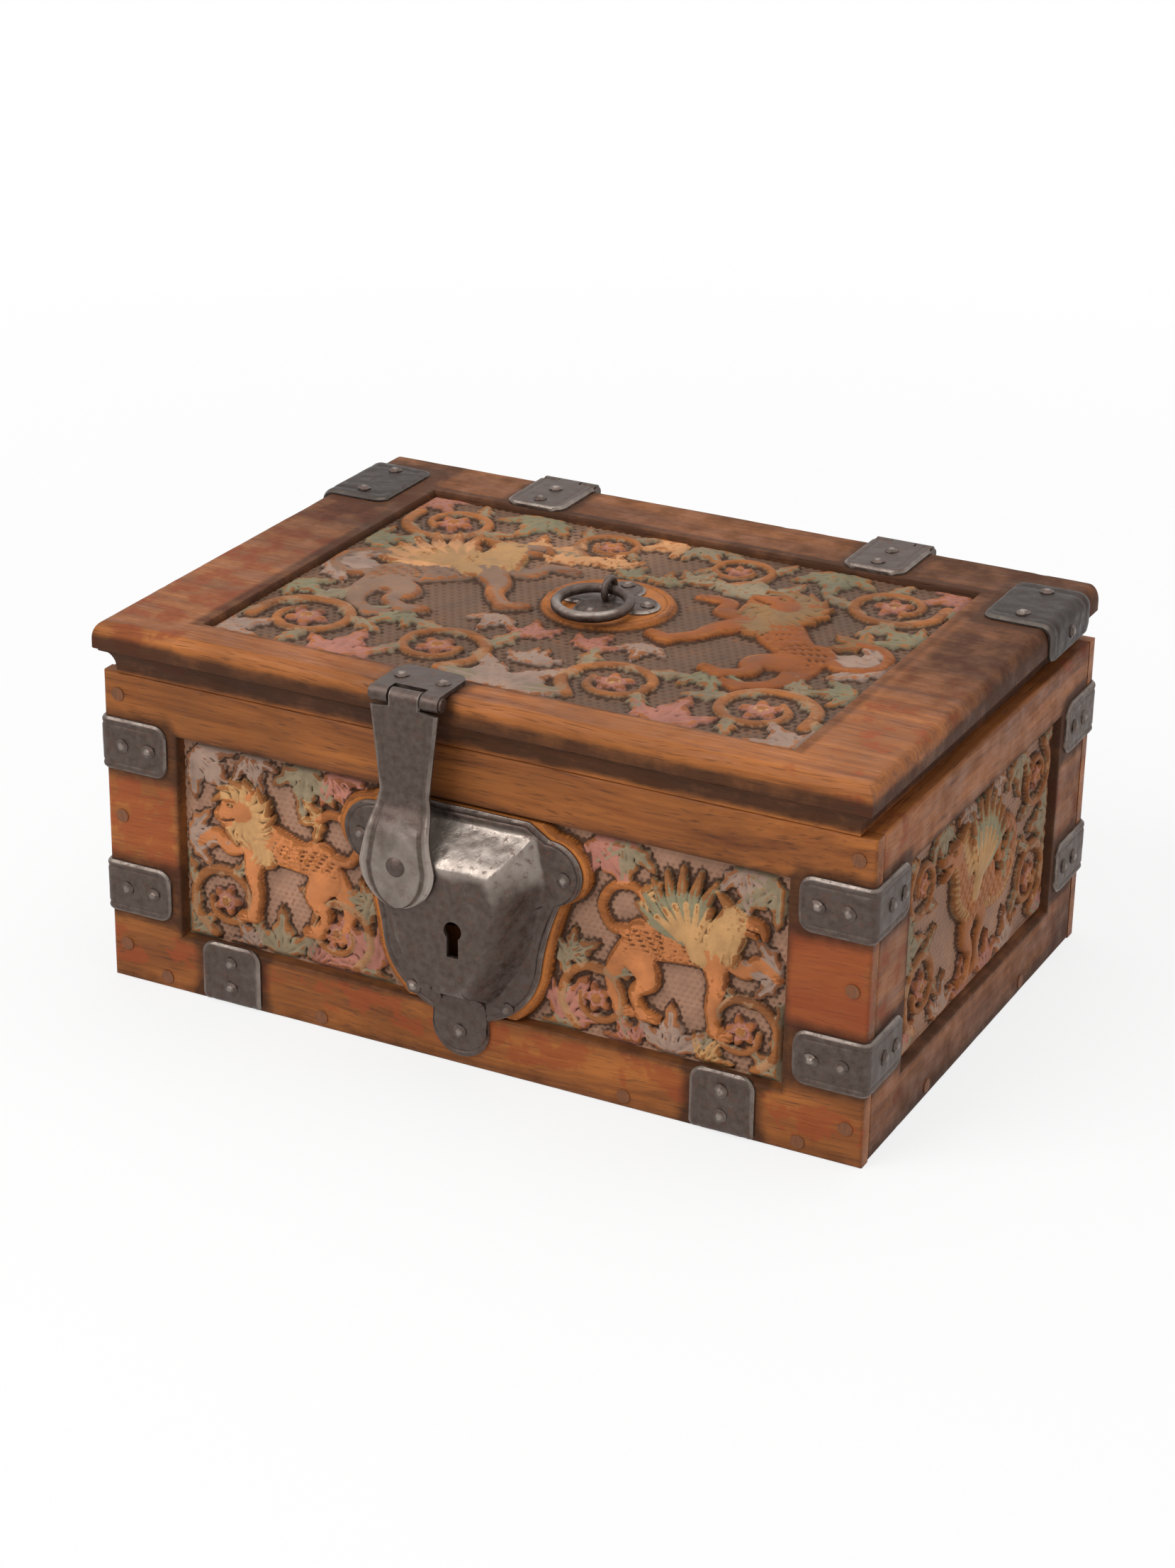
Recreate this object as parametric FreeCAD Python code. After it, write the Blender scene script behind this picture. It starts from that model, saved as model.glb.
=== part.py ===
import FreeCAD, Part
import math
import os

# Late-medieval casket: carved oak boards bound with wrought iron, in millimetres.
# X runs to the right along the front, Y runs to the back and Z is up.
# The origin is on the underside, in the middle of the box.

# Oak box
body_length = 296.0
body_depth = 204.0
rim_height = 120.0
wall = 12.0
corner_lip = 6.0
base_thickness = 9.0
base_rebate = 5.0

# Sunk fields that hold the carving
front_stile = 30.0
end_stile = 32.0
bottom_rail = 22.0
top_rail = 20.0
field_depth = 4.0
lock_table_margin = 3.0

# Main forms of the carving, raised from the sunk fields
figure_rise = 3.0
foliage_rise = 1.9
lid_figure_rise = 2.2
lid_foliage_rise = 1.5
relief_root = 0.5
front_figure_scale = 0.90
end_figure_scale = 1.04
lid_figure_scale = 1.20
lid_figure_lean = 34.0
front_figure_place = (41.0, 38.0)
lid_figure_place = (49.0, 87.0)
end_figure_rise = 40.0
stem_half = 1.9
spray_side_share = 0.82
spray_notch_share = 0.42
spray_angle = 48.0
flower_radius = 6.2

# Vine scrolls by place and radius, and sprays of leaves by root and length, with their angles; in each
# field, places are measured inwards from the outer side and up, or back, from the lower or front side
front_scrolls = (((18.0, 18.0), 12.5), ((66.0, 16.0), 12.0))
front_sprays = (((41.0, 1.0), 21.0), ((5.0, 74.0), 24.0), ((52.0, 77.0), 22.0), ((82.0, 5.0), 24.0),
                ((2.0, 41.0), 19.0), ((62.0, 77.0), 18.0))
front_spray_angles = (90, -40, 262, 126, 0, 300)
end_scrolls = (((19.0, 22.0), 13.0), ((17.0, 61.0), 11.0))
end_sprays = (((2.0, 41.0), 20.0), ((38.0, 1.0), 19.0), ((36.0, 77.0), 19.0), ((58.0, 77.0), 16.0),
              ((58.0, 1.0), 17.0))
end_spray_angles = (0, 80, 262, 258, 90)
lid_scrolls = (((23.0, 139.0), 16.0), ((25.0, 29.0), 17.0), ((79.0, 27.0), 16.0), ((87.0, 145.0), 12.0))
lid_sprays = (((111.0, 3.0), 29.0), ((2.0, 83.0), 30.0), ((53.0, 163.0), 27.0), ((51.0, 2.0), 27.0),
              ((2.0, 5.0), 23.0), ((2.0, 161.0), 20.0), ((2.0, 109.0), 21.0), ((2.0, 57.0), 20.0))
lid_spray_angles = (115, 0, 262, 92, 45, -40, 28, -20)

# Limbs of the figures, facing left about their own middle: two ends and the half width at each
walking_limbs = (
    ((-14.0, 9.0), (16.0, 4.0), 10.5, 9.0),
    ((16.0, 2.0), (15.0, -25.0), 7.5, 3.0),
    ((20.0, 0.0), (26.0, -25.0), 6.5, 2.8),
    ((-13.0, 5.0), (-14.5, -25.0), 6.6, 3.0),
    ((-18.0, 6.0), (-28.0, 2.0), 5.0, 3.4),
    ((-28.0, 2.0), (-39.0, 2.0), 3.4, 2.4),
    ((15.0, -26.0), (9.5, -27.0), 3.4, 2.5),
    ((26.0, -26.0), (20.0, -27.0), 3.2, 2.4),
    ((-14.5, -26.0), (-20.5, -27.0), 3.4, 2.5),
    ((23.0, 7.0), (33.0, 15.0), 2.6, 2.2),
    ((33.0, 15.0), (29.0, 23.0), 2.2, 2.1),
    ((29.0, 23.0), (15.0, 24.0), 2.1, 2.6),
)
lion_limbs = (
    ((-14.0, 8.0), (-19.0, 17.5), 11.0, 13.0),
    ((-24.0, 18.0), (-30.0, 15.0), 6.5, 4.2),
)
griffin_limbs = (
    ((-14.0, 9.0), (-21.0, 21.0), 10.0, 6.6),
    ((-24.0, 22.0), (-33.0, 19.0), 5.0, 1.8),
    ((-18.0, 25.0), (-14.5, 31.0), 2.8, 1.2),
)
griffin_wing = (-5.0, 7.0)
dragon_limbs = (
    ((8.0, -1.0), (-4.0, -2.0), 9.4, 9.6),
    ((-4.0, -2.0), (-14.0, 4.0), 9.6, 8.0),
    ((-14.0, 4.0), (-17.0, 13.0), 8.0, 5.8),
    ((-17.0, 13.0), (-21.0, 20.0), 5.8, 5.6),
    ((-21.0, 20.0), (-34.0, 22.5), 6.0, 2.2),
    ((-26.0, 17.0), (-32.0, 15.6), 2.8, 1.7),
    ((6.0, -2.0), (16.0, -8.0), 8.0, 6.5),
    ((16.0, -8.0), (27.0, -6.0), 6.5, 5.2),
    ((27.0, -6.0), (33.0, 4.0), 5.2, 4.2),
    ((33.0, 4.0), (28.0, 13.0), 4.2, 3.4),
    ((28.0, 13.0), (20.0, 11.0), 3.4, 2.8),
    ((4.0, -6.0), (4.5, -29.0), 5.6, 2.5),
    ((-6.0, -6.0), (-7.0, -29.0), 6.2, 2.7),
    ((4.5, -30.0), (-1.5, -31.0), 2.8, 2.0),
    ((-7.0, -30.0), (-13.5, -31.0), 3.0, 2.0),
)
dragon_wing = (0.0, 3.0)
feather_count = 5
feather_reach = 29.0
feather_first = 104.0
feather_step = 17.0
feather_half = 2.6
feather_tip_half = 1.7

# Wooden pegs
peg_radius = 2.5
peg_proud = 0.4
peg_length = 24.0
peg_fit = 0.02
corner_peg_low = 14.0
corner_peg_drop = 8.0
base_pegs_from_end = (23.0, 88.0)
base_peg_from_side = 57.0

# Lid board with its moulded edge
lid_thickness = 20.0
lid_seat_gap = 0.2
lid_front_overhang = 6.0
lid_back_setback = 0.6
lid_front_margin = 17.0
lid_back_margin = 28.0
lid_end_margin = 35.0
lid_field_depth = 3.0
lid_quirk = 1.5
lid_cove_run = 4.5
lid_cove_height = 7.5
lid_fillet_run = 1.5
lid_fillet_height = 1.0
lid_thumb_run = 4.0
lid_thumb_height = 6.0

# Wrought nails with domed heads
nail_head_radius = 2.6
nail_head_height = 1.5
nail_shank_radius = 1.1
nail_length = 8.0
nail_fit = 0.03

# Iron straps
strap = 1.6
strap_corner = 5.0
strap_least_flat = 0.1
strap_bend_round = 1.44
corner_strap_height = 20.0
corner_front_leg = 26.0
corner_end_leg = 28.0
corner_low = 37.0
corner_high_drop = 27.0
corner_front_nails = (8.0, 19.0)
corner_end_nails = (12.0, 22.0)
base_strap_from_end = 51.0
base_strap_width = 24.0
base_strap_rise = 24.0
base_strap_reach = 22.0
base_nail_heights = (7.5, 17.0)
lid_iron_width = 40.0
lid_iron_reach = 26.0
lid_iron_drop = 13.0
lid_iron_inset = 12.0
lid_iron_nail_side = 12.0

# Hinges of the lid
hinge_from_end = 78.0
hinge_width = 22.0
hinge_barrel = 3.2
hinge_middle = 9.0
hinge_lid_reach = 27.0
hinge_back_reach = 58.0
hinge_corner = 7.0
hinge_nail_first = 9.0
hinge_nail_step = 13.0
hinge_back_nail_step = 18.0
knuckle_gap = 0.4
pin_radius = 1.5
pin_fit = 0.02
pin_run = 0.05
pin_head_radius = 2.3
pin_head = 0.9

# Lock case on the front, placed by the middle line of its bolt
lock_x = -3.0
lock_drop = 40.0
lock_flange = 1.6
lock_wall = 1.5
dome_rise = 16.0
lock_shoulders = ((26.0, 19.0), (34.0, 14.0))
lock_ear = ((46.0, 4.0), (38.0, -9.0))
lock_waist = ((33.5, -22.0), (31.0, -36.0))
lock_foot = ((25.0, -50.0), (10.0, -60.0))
lock_tip = -76.0
dome_foot = ((30.0, 16.0), (34.0, -2.0), (29.0, -30.0), (14.0, -54.0))
dome_crown = ((18.0, 2.0), (21.0, -8.0), (17.0, -28.0), (8.0, -44.0))
lock_nail_spots = ((39.5, 1.0), (18.5, -53.0))
lock_tip_nail = -66.0
keyhole_x = 2.0
keyhole_drop = 20.0
keyhole_radius = 3.4
keyhole_slot_width = 4.4
keyhole_slot_length = 10.0

# Bolt work inside the lock case
back_plate = 1.2
back_plate_left = -12.0
back_plate_right = 20.0
back_plate_rise = 10.0
back_plate_drop = 26.0
bolt_height = 8.0
bolt_thickness = 3.5
bolt_stand_off = 3.5
bolt_left = -13.5
bolt_right = 19.5
lug_left = 4.2
lug_width = 3.0
lug_drop = 6.0
guide_places = (-9.5, 8.0)
guide_width = 3.0
guide_bar = 1.5
guide_gap = 0.3
spring_leaf = 0.8
spring_left = -5.0
spring_right = 6.5
spring_rise = 3.4
spring_gap = 0.4
spring_front = 5.6
spring_back = 3.0

# Hasp on the lid's front edge
hasp_x = -19.0
hasp_width = 26.0
hasp_waist_width = 19.0
hasp_leaf_width = 29.0
hasp_barrel = 3.0
hasp_middle = 12.0
hasp_edge_gap = 0.4
hasp_lid_reach = 17.0
hasp_waist_drop = 34.0
hasp_kink_drop = 52.0
hasp_end_drop = 74.0
hasp_lock_gap = 0.5
hasp_nail_side = 8.0
hasp_nail_inset = 7.0

# Staple riveted to the hasp
staple_thickness = 3.6
staple_bar = 2.2
staple_gap = 0.6
staple_board_gap = 0.8
rivet_radius = 1.8
rivet_head_radius = 3.6
rivet_head_height = 1.4
slot_side_gap = 0.8
slot_end_gap = 2.2

# Ring handle of the lid
pad_radius = 24.0
pad_height = 2.4
rosette = 1.4
rosette_core = 12.0
rosette_lobe = 8.0
rosette_lobe_place = 11.5
rosette_nail_place = 15.0
eye_wire = 1.3
eye_hole = 2.6
eye_rise = 3.4
eye_stem = 2.0
clinch_length = 11.0
ring_radius = 13.0
ring_bar = 2.0
ring_tilt = 3.4

# Places worked out from the sizes above
half_length = body_length / 2
half_depth = body_depth / 2
corner_high = rim_height - corner_high_drop
base_strap_place = half_length - base_strap_from_end
hinge_place = half_length - hinge_from_end
lid_bottom = rim_height + lid_seat_gap
lid_top = lid_bottom + lid_thickness
lid_front = -half_depth - lid_front_overhang
lid_back = half_depth - lid_back_setback
field_front = lid_front + lid_front_margin
field_back = lid_back - lid_back_margin
field_side = half_length - lid_end_margin
hinge_y = half_depth + hinge_barrel
hinge_z = lid_top + strap - hinge_barrel
hasp_y = lid_front - hasp_edge_gap - hasp_barrel
hasp_z = lid_top + strap - hasp_barrel
lock_z = rim_height - lock_drop
dome_front = -half_depth - dome_rise
hasp_inner_top = hasp_y - hasp_barrel + strap
hasp_inner_low = dome_front - hasp_lock_gap
bolt_back = -half_depth - bolt_stand_off
bolt_front = bolt_back - bolt_thickness
pad_top = lid_top - lid_field_depth + pad_height
rosette_top = pad_top + rosette
eye_z = rosette_top + eye_rise

LEFT = FreeCAD.Vector(-1, 0, 0)
RIGHT = FreeCAD.Vector(1, 0, 0)
FORWARD = FreeCAD.Vector(0, -1, 0)
BACKWARD = FreeCAD.Vector(0, 1, 0)
DOWN = FreeCAD.Vector(0, 0, -1)
UP = FreeCAD.Vector(0, 0, 1)
overcut = 1.0


def at(x, y, z):
    """Point in the casket's frame."""
    return FreeCAD.Vector(x, y, z)


def block(x0, x1, y0, y1, z0, z1):
    """Box between two corners, whose limits may come in any order."""
    low = at(min(x0, x1), min(y0, y1), min(z0, z1))
    return Part.makeBox(abs(x1 - x0), abs(y1 - y0), abs(z1 - z0), low)


def rod(radius, start, along, length):
    """Round bar from a point along a direction."""
    return Part.makeCylinder(radius, length, start, along)


def line(a, b):
    return Part.LineSegment(a, b).toShape()


def arc(a, middle, b):
    return Part.Arc(a, middle, b).toShape()


def prism(edges, run):
    """Solid swept from a closed outline along a straight run."""
    return Part.Face(Part.Wire(edges)).extrude(run)


def dome(seat, inward, radius, height):
    """Spherical cap whose flat side sits at a point and faces inward."""
    ball = (radius ** 2 + height ** 2) / (2 * height)
    sunk = ball - height
    latitude = math.degrees(math.asin(sunk / ball))
    return Part.makeSphere(ball, seat + inward * sunk, inward * -1, latitude, 90, 360)


def nail(seat, inward):
    """Nail with its head on the iron at a point and its shank running inward."""
    shank = rod(nail_shank_radius, seat, inward, nail_length)
    return dome(seat, inward, nail_head_radius, nail_head_height).fuse(shank)


def nail_hole(seat, inward):
    """Hole that takes the shank of a nail."""
    reach = overcut + nail_length + nail_fit
    return rod(nail_shank_radius + nail_fit, seat - inward * overcut, inward, reach)


def nails(spots):
    return Part.makeCompound([nail(seat, inward) for seat, inward in spots])


def drilled(shape, spots):
    """The shape with a hole for each nail."""
    return shape.cut(Part.makeCompound([nail_hole(seat, inward) for seat, inward in spots]))


def tongue(root, along, across, normal, length, width, corner):
    """Flat iron tongue from a root line to rounded free corners, as thick as a strap."""
    rounding = min(corner, width / 2 - strap_least_flat, length - strap_least_flat)
    inset = rounding * (1 - math.sqrt(0.5))
    side = across * (width / 2)
    low = root - side
    high = root + side
    edges = [
        line(low, low + along * (length - rounding)),
        arc(low + along * (length - rounding),
            low + along * (length - inset) + across * inset,
            low + along * length + across * rounding),
        line(low + along * length + across * rounding, high + along * length - across * rounding),
        arc(high + along * length - across * rounding,
            high + along * (length - inset) - across * inset,
            high + along * (length - rounding)),
        line(high + along * (length - rounding), high),
        line(high, low),
    ]
    return prism(edges, normal * strap)


def bend_rounded(shape, corner_point, axis):
    """Angle iron with its outer bend rounded along the edge through a point."""
    def on_bend(edge):
        ends = [vertex.Point - corner_point for vertex in edge.Vertexes]
        return all(end.cross(axis).Length < 1e-6 for end in ends)
    bends = [edge for edge in shape.Edges if on_bend(edge)]
    return shape.makeFillet(strap_bend_round, bends)


# Carved relief: each field gives a place function from its own two measures to a point on its floor
def figure_place(place, middle, size, turn=0.0, mirror=1):
    """Place function for a figure drawn about its own middle, sized, turned and, if wished, mirrored."""
    cosine = size * math.cos(math.radians(turn))
    sine = size * math.sin(math.radians(turn))

    def figure_point(p, q):
        return place(middle[0] + mirror * p * cosine - q * sine, middle[1] + mirror * p * sine + q * cosine)
    return figure_point


def limb_edges(place, start, end, start_half, end_half):
    """Outline of a limb: two round ends and the straight lines that touch both."""
    heading = math.atan2(end[1] - start[1], end[0] - start[0])
    lean = math.acos((start_half - end_half) / math.dist(start, end))

    def round_point(middle, half, angle):
        return place(middle[0] + half * math.cos(angle), middle[1] + half * math.sin(angle))
    corners = [round_point(start, start_half, heading + lean), round_point(end, end_half, heading + lean),
               round_point(end, end_half, heading - lean), round_point(start, start_half, heading - lean)]
    tip = round_point(end, end_half, heading)
    back = round_point(start, start_half, heading + math.pi)
    return [line(corners[0], corners[1]), arc(corners[1], tip, corners[2]),
            line(corners[2], corners[3]), arc(corners[3], back, corners[0])]


def wing_limbs(root):
    """Feathers of a raised wing, fanned from its root."""
    limbs = []
    for k in range(feather_count):
        angle = math.radians(feather_first - feather_step * k)
        tip = (root[0] + feather_reach * math.cos(angle), root[1] + feather_reach * math.sin(angle))
        limbs.append((root, tip, feather_half, feather_tip_half))
    return tuple(limbs)


def relief_run(outward, rise):
    """Run of a form from a little under the field's floor to its rise above it."""
    return outward * (relief_root + rise)


def figure_forms(place, limbs, outward, rise):
    """Raised limbs of one figure."""
    sunk = outward * -relief_root
    forms = [prism(limb_edges(place, *limb), relief_run(outward, rise)) for limb in limbs]
    return [form.translated(sunk) for form in forms]


def scroll_forms(place, centre, radius, outward, rise):
    """Ring of a vine scroll with the flower in its middle."""
    seat = place(*centre) - outward * relief_root
    height = relief_root + rise
    outer = rod(radius + stem_half, seat, outward, height)
    inner = rod(radius - stem_half, seat, outward, height)
    return [outer.cut(inner), rod(flower_radius, seat, outward, height)]


def spray_form(place, root, length, direction, outward, rise):
    """Spray of leaves as one form with three points."""
    angles = (-spray_angle, -spray_angle / 2, 0, spray_angle / 2, spray_angle)
    shares = (spray_side_share, spray_notch_share, 1, spray_notch_share, spray_side_share)
    points = [place(*root)]
    for angle, share in zip(angles, shares):
        turn = math.radians(direction + angle)
        reach = share * length
        points.append(place(root[0] + reach * math.cos(turn), root[1] + reach * math.sin(turn)))
    leaf = Part.Face(Part.makePolygon(points + points[:1])).extrude(relief_run(outward, rise))
    return leaf.translated(outward * -relief_root)


def foliage_forms(place, scrolls, sprays, angles, outward, rise):
    """Scrolls and sprays of one half of a field."""
    forms = []
    for centre, radius in scrolls:
        forms += scroll_forms(place, centre, radius, outward, rise)
    for (root, length), angle in zip(sprays, angles):
        forms.append(spray_form(place, root, length, angle, outward, rise))
    return forms


def carved(board, forms, field):
    """Board with the raised forms that lie in its field."""
    relief = forms[0].fuse(forms[1:]).common(field)
    return board.fuse(relief).removeSplitter()


def front_relief():
    """Lion on the left and griffin on the right of the lock, each walking away from it."""
    forms = []
    floor = -half_depth + field_depth
    for end, limbs in ((-1, lion_limbs), (1, griffin_limbs + wing_limbs(griffin_wing))):
        def place(u, v, end=end):
            return at(end * (half_length - front_stile - u), floor, bottom_rail + v)
        figure = figure_place(place, front_figure_place, front_figure_scale)
        forms += foliage_forms(place, front_scrolls, front_sprays, front_spray_angles, FORWARD, foliage_rise)
        forms += figure_forms(figure, walking_limbs + limbs, FORWARD, figure_rise)
    return forms


def end_relief(end):
    """Dragon between scrolls on an end board."""
    forms = []
    floor = end * (half_length - field_depth)
    outward = RIGHT * end
    for side in (-1, 1):
        def place(u, v, side=side):
            return at(floor, end * side * (half_depth - end_stile - u), bottom_rail + v)
        forms += foliage_forms(place, end_scrolls, end_sprays, end_spray_angles, outward, foliage_rise)

    def middle_place(u, v):
        return at(floor, end * u, bottom_rail + v)
    figure = figure_place(middle_place, (0, end_figure_rise), end_figure_scale)
    return forms + figure_forms(figure, dragon_limbs + wing_limbs(dragon_wing), outward, figure_rise)


def lid_relief():
    """Griffin and lion rearing either side of the handle, among scrolls."""
    forms = []
    for end, limbs in ((-1, griffin_limbs + wing_limbs(griffin_wing)), (1, lion_limbs)):
        def place(u, v, end=end):
            return at(end * (field_side - u), field_front + v, lid_top - lid_field_depth)
        figure = figure_place(place, lid_figure_place, lid_figure_scale, lid_figure_lean, -1)
        forms += foliage_forms(place, lid_scrolls, lid_sprays, lid_spray_angles, UP, lid_foliage_rise)
        forms += figure_forms(figure, walking_limbs + limbs, UP, lid_figure_rise)
    return forms


# Base and walls
base_x = half_length - wall + base_rebate
base_y = half_depth - wall + base_rebate
base_blank = block(-base_x, base_x, -base_y, base_y, 0, base_thickness)


def long_board(side):
    """Front (side -1) or back (side 1) board, rebated for the ends and the base."""
    outside = side * half_depth
    inside = side * (half_depth - wall)
    lip = side * (half_depth - corner_lip)
    board = block(-half_length, half_length, outside, inside, 0, rim_height)
    for end in (-1, 1):
        board = board.cut(block(end * (half_length - wall), end * half_length, lip, inside, 0, rim_height))
    return board.cut(base_blank)


def end_board(end):
    """Left (end -1) or right (end 1) board, held in the rebates, with its sunk field."""
    lip = half_depth - corner_lip
    board = block(end * (half_length - wall), end * half_length, -lip, lip, 0, rim_height)
    field_y = half_depth - end_stile
    floor = end * (half_length - field_depth)
    field = block(floor, end * half_length, -field_y, field_y, bottom_rail, rim_height - top_rail)
    bed = block(floor - end * relief_root, end * half_length, -field_y, field_y,
                bottom_rail, rim_height - top_rail)
    return carved(board.cut(base_blank).cut(field), end_relief(end), bed)


# Lock case
def lock_point(spot, y):
    """Point of the lock's outline, measured from the middle of the bolt."""
    return at(lock_x + spot[0], y, lock_z + spot[1])


def mirrored(spot):
    return (-spot[0], spot[1])


def shield_edges(y):
    """Closed outline of the lock plate: shoulders, ears, waist and a round tip."""
    edges = [line(lock_point(mirrored(lock_shoulders[0]), y), lock_point(lock_shoulders[0], y))]
    for flip in (lambda spot: spot, mirrored):
        shoulder = [lock_point(flip(spot), y) for spot in lock_shoulders]
        ear = [lock_point(flip(spot), y) for spot in lock_ear]
        waist = [lock_point(flip(spot), y) for spot in lock_waist]
        foot = [lock_point(flip(spot), y) for spot in lock_foot]
        edges += [line(shoulder[0], shoulder[1]), arc(shoulder[1], ear[0], ear[1])]
        edges += [arc(ear[1], waist[0], waist[1]), arc(waist[1], foot[0], foot[1])]
    tip = lock_point((0, lock_tip), y)
    edges.append(arc(lock_point(lock_foot[1], y), tip, lock_point(mirrored(lock_foot[1]), y)))
    return Part.__sortEdges__(edges)


def ring_wire(spots, shrink, y):
    """Closed polygon through half an outline and its mirror, drawn in by a wall."""
    half = [(x - shrink, z - math.copysign(shrink, z + keyhole_drop)) for x, z in spots]
    whole = half + [mirrored(spot) for spot in reversed(half)]
    points = [lock_point(spot, y) for spot in whole]
    return Part.makePolygon(points + points[:1])


def dome_solid(shrink, front):
    """Faceted dome from the board's face out to a front plane."""
    foot = ring_wire(dome_foot, shrink, -half_depth)
    crown = ring_wire(dome_crown, shrink, front)
    return Part.makeLoft([foot, crown], True, True)


def keyhole():
    """Round hole with a slot below it, through the dome's front."""
    z = lock_z - keyhole_drop
    start = dome_front - overcut
    reach = overcut + lock_wall * 2
    hole = rod(keyhole_radius, at(keyhole_x, start, z), BACKWARD, reach)
    half = keyhole_slot_width / 2
    slot = block(keyhole_x - half, keyhole_x + half, start, start + reach, z - keyhole_slot_length, z)
    return hole.fuse(slot)


# Staple of the hasp, sized by the bolt that it takes
eye_low = lock_z - bolt_height / 2 - staple_gap
eye_high = lock_z + bolt_height / 2 + staple_gap
staple_low = eye_low - staple_bar
staple_high = eye_high + staple_bar
staple_end = -half_depth - staple_board_gap
slot_half = staple_thickness / 2 + slot_side_gap
slot_top = lock_z + dome_foot[0][1]

lock_nail_list = [(at(lock_x, -half_depth - lock_flange, lock_z + lock_tip_nail), BACKWARD)]
for spot in lock_nail_spots:
    for placed in (spot, mirrored(spot)):
        lock_nail_list.append((lock_point(placed, -half_depth - lock_flange), BACKWARD))

cavity = dome_solid(lock_wall, dome_front + lock_wall)
staple_slot = block(hasp_x - slot_half, hasp_x + slot_half, dome_front - overcut, -half_depth,
                    staple_low - slot_end_gap, slot_top)
lock_case = prism(shield_edges(-half_depth), FORWARD * lock_flange)
lock_case = lock_case.fuse(dome_solid(0, dome_front)).cut(cavity)
lock_case = drilled(lock_case.cut(staple_slot).cut(keyhole()), lock_nail_list)

# Straps, irons and the nails that hold them to the box
corner_straps = {}
corner_nail_list = []
for depth_name, side in (("front", -1), ("back", 1)):
    for length_name, end in (("left", -1), ("right", 1)):
        for height_name, z in (("lower", corner_low), ("upper", corner_high)):
            outer = at(end * (half_length + strap), side * (half_depth + strap), z)
            inward_x = RIGHT * -end
            inward_y = BACKWARD * -side
            face_leg = tongue(outer, inward_x, UP, inward_y, corner_front_leg + strap,
                              corner_strap_height, strap_corner)
            end_leg = tongue(outer, inward_y, UP, inward_x, corner_end_leg + strap,
                             corner_strap_height, strap_corner)
            spots = [(outer + inward_x * (strap + reach), inward_y) for reach in corner_front_nails]
            spots += [(outer + inward_y * (strap + reach), inward_x) for reach in corner_end_nails]
            angle = bend_rounded(face_leg.fuse(end_leg).removeSplitter(), outer, UP)
            name = f"corner_strap_{depth_name}_{length_name}_{height_name}"
            corner_straps[name] = drilled(angle, spots)
            corner_nail_list += spots

base_straps = {}
base_nail_list = []
base_seats = []
for depth_name, side in (("front", -1), ("back", 1)):
    for length_name, end in (("left", -1), ("right", 1)):
        outer = at(end * base_strap_place, side * (half_depth + strap), 0)
        inward = BACKWARD * -side
        rise = tongue(outer, UP, RIGHT, inward, base_strap_rise, base_strap_width, strap_corner)
        foot = tongue(outer, inward, RIGHT, UP, base_strap_reach + strap, base_strap_width, strap_corner)
        spots = [(outer + UP * height, inward) for height in base_nail_heights]
        angle = bend_rounded(rise.fuse(foot).removeSplitter(), outer, RIGHT)
        base_straps[f"base_strap_{depth_name}_{length_name}"] = drilled(angle, spots)
        base_nail_list += spots
        base_seats.append(foot)


# Hinges: a leaf on the lid, a leaf on the back and a pin
def barrel(x0, x1, y, z, radius):
    return rod(radius, at(x0, y, z), RIGHT, x1 - x0)


def hinge_lid_leaf(x, spots):
    """Leaf on the lid's top with the middle knuckle at its back end."""
    root = at(x, hinge_y, lid_top)
    plate = tongue(root, FORWARD, RIGHT, UP, hinge_y - lid_back + hinge_lid_reach, hinge_width, hinge_corner)
    half = hinge_middle / 2
    clear = hinge_y - hinge_barrel - knuckle_gap
    for side in (-1, 1):
        plate = plate.cut(block(x + side * half, x + side * hinge_width,
                                clear, hinge_y, lid_top, lid_top + strap))
    leaf = plate.fuse(barrel(x - half, x + half, hinge_y, hinge_z, hinge_barrel)).removeSplitter()
    bore = barrel(x - hinge_width, x + hinge_width, hinge_y, hinge_z, pin_radius + pin_run)
    return drilled(leaf.cut(bore), spots)


def hinge_back_leaf(x, spots):
    """Leaf down the back with the two outer knuckles at its top."""
    root = at(x, half_depth, hinge_z)
    length = hinge_z - rim_height + hinge_back_reach
    plate = tongue(root, DOWN, RIGHT, BACKWARD, length, hinge_width, hinge_corner)
    half = hinge_middle / 2 + knuckle_gap
    clear = hinge_z - hinge_barrel - knuckle_gap
    plate = plate.cut(block(x - half, x + half, half_depth, half_depth + strap, clear, hinge_z))
    bore = barrel(x - hinge_width, x + hinge_width, hinge_y, hinge_z, pin_radius + pin_fit)
    for side in (-1, 1):
        inner = x + side * half
        outer = x + side * hinge_width / 2
        knuckle = barrel(min(inner, outer), max(inner, outer), hinge_y, hinge_z, hinge_barrel)
        plate = plate.fuse(knuckle)
    return drilled(plate.removeSplitter().cut(bore), spots)


def hinge_pin(x, width, y, z):
    """Pin through a barrel with a head hammered over at each end."""
    half = width / 2
    pin = barrel(x - half, x + half, y, z, pin_radius)
    for side in (-1, 1):
        start = at(x + side * half, y, z)
        pin = pin.fuse(rod(pin_head_radius, start, RIGHT * side, pin_head))
    return pin.removeSplitter()


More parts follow.
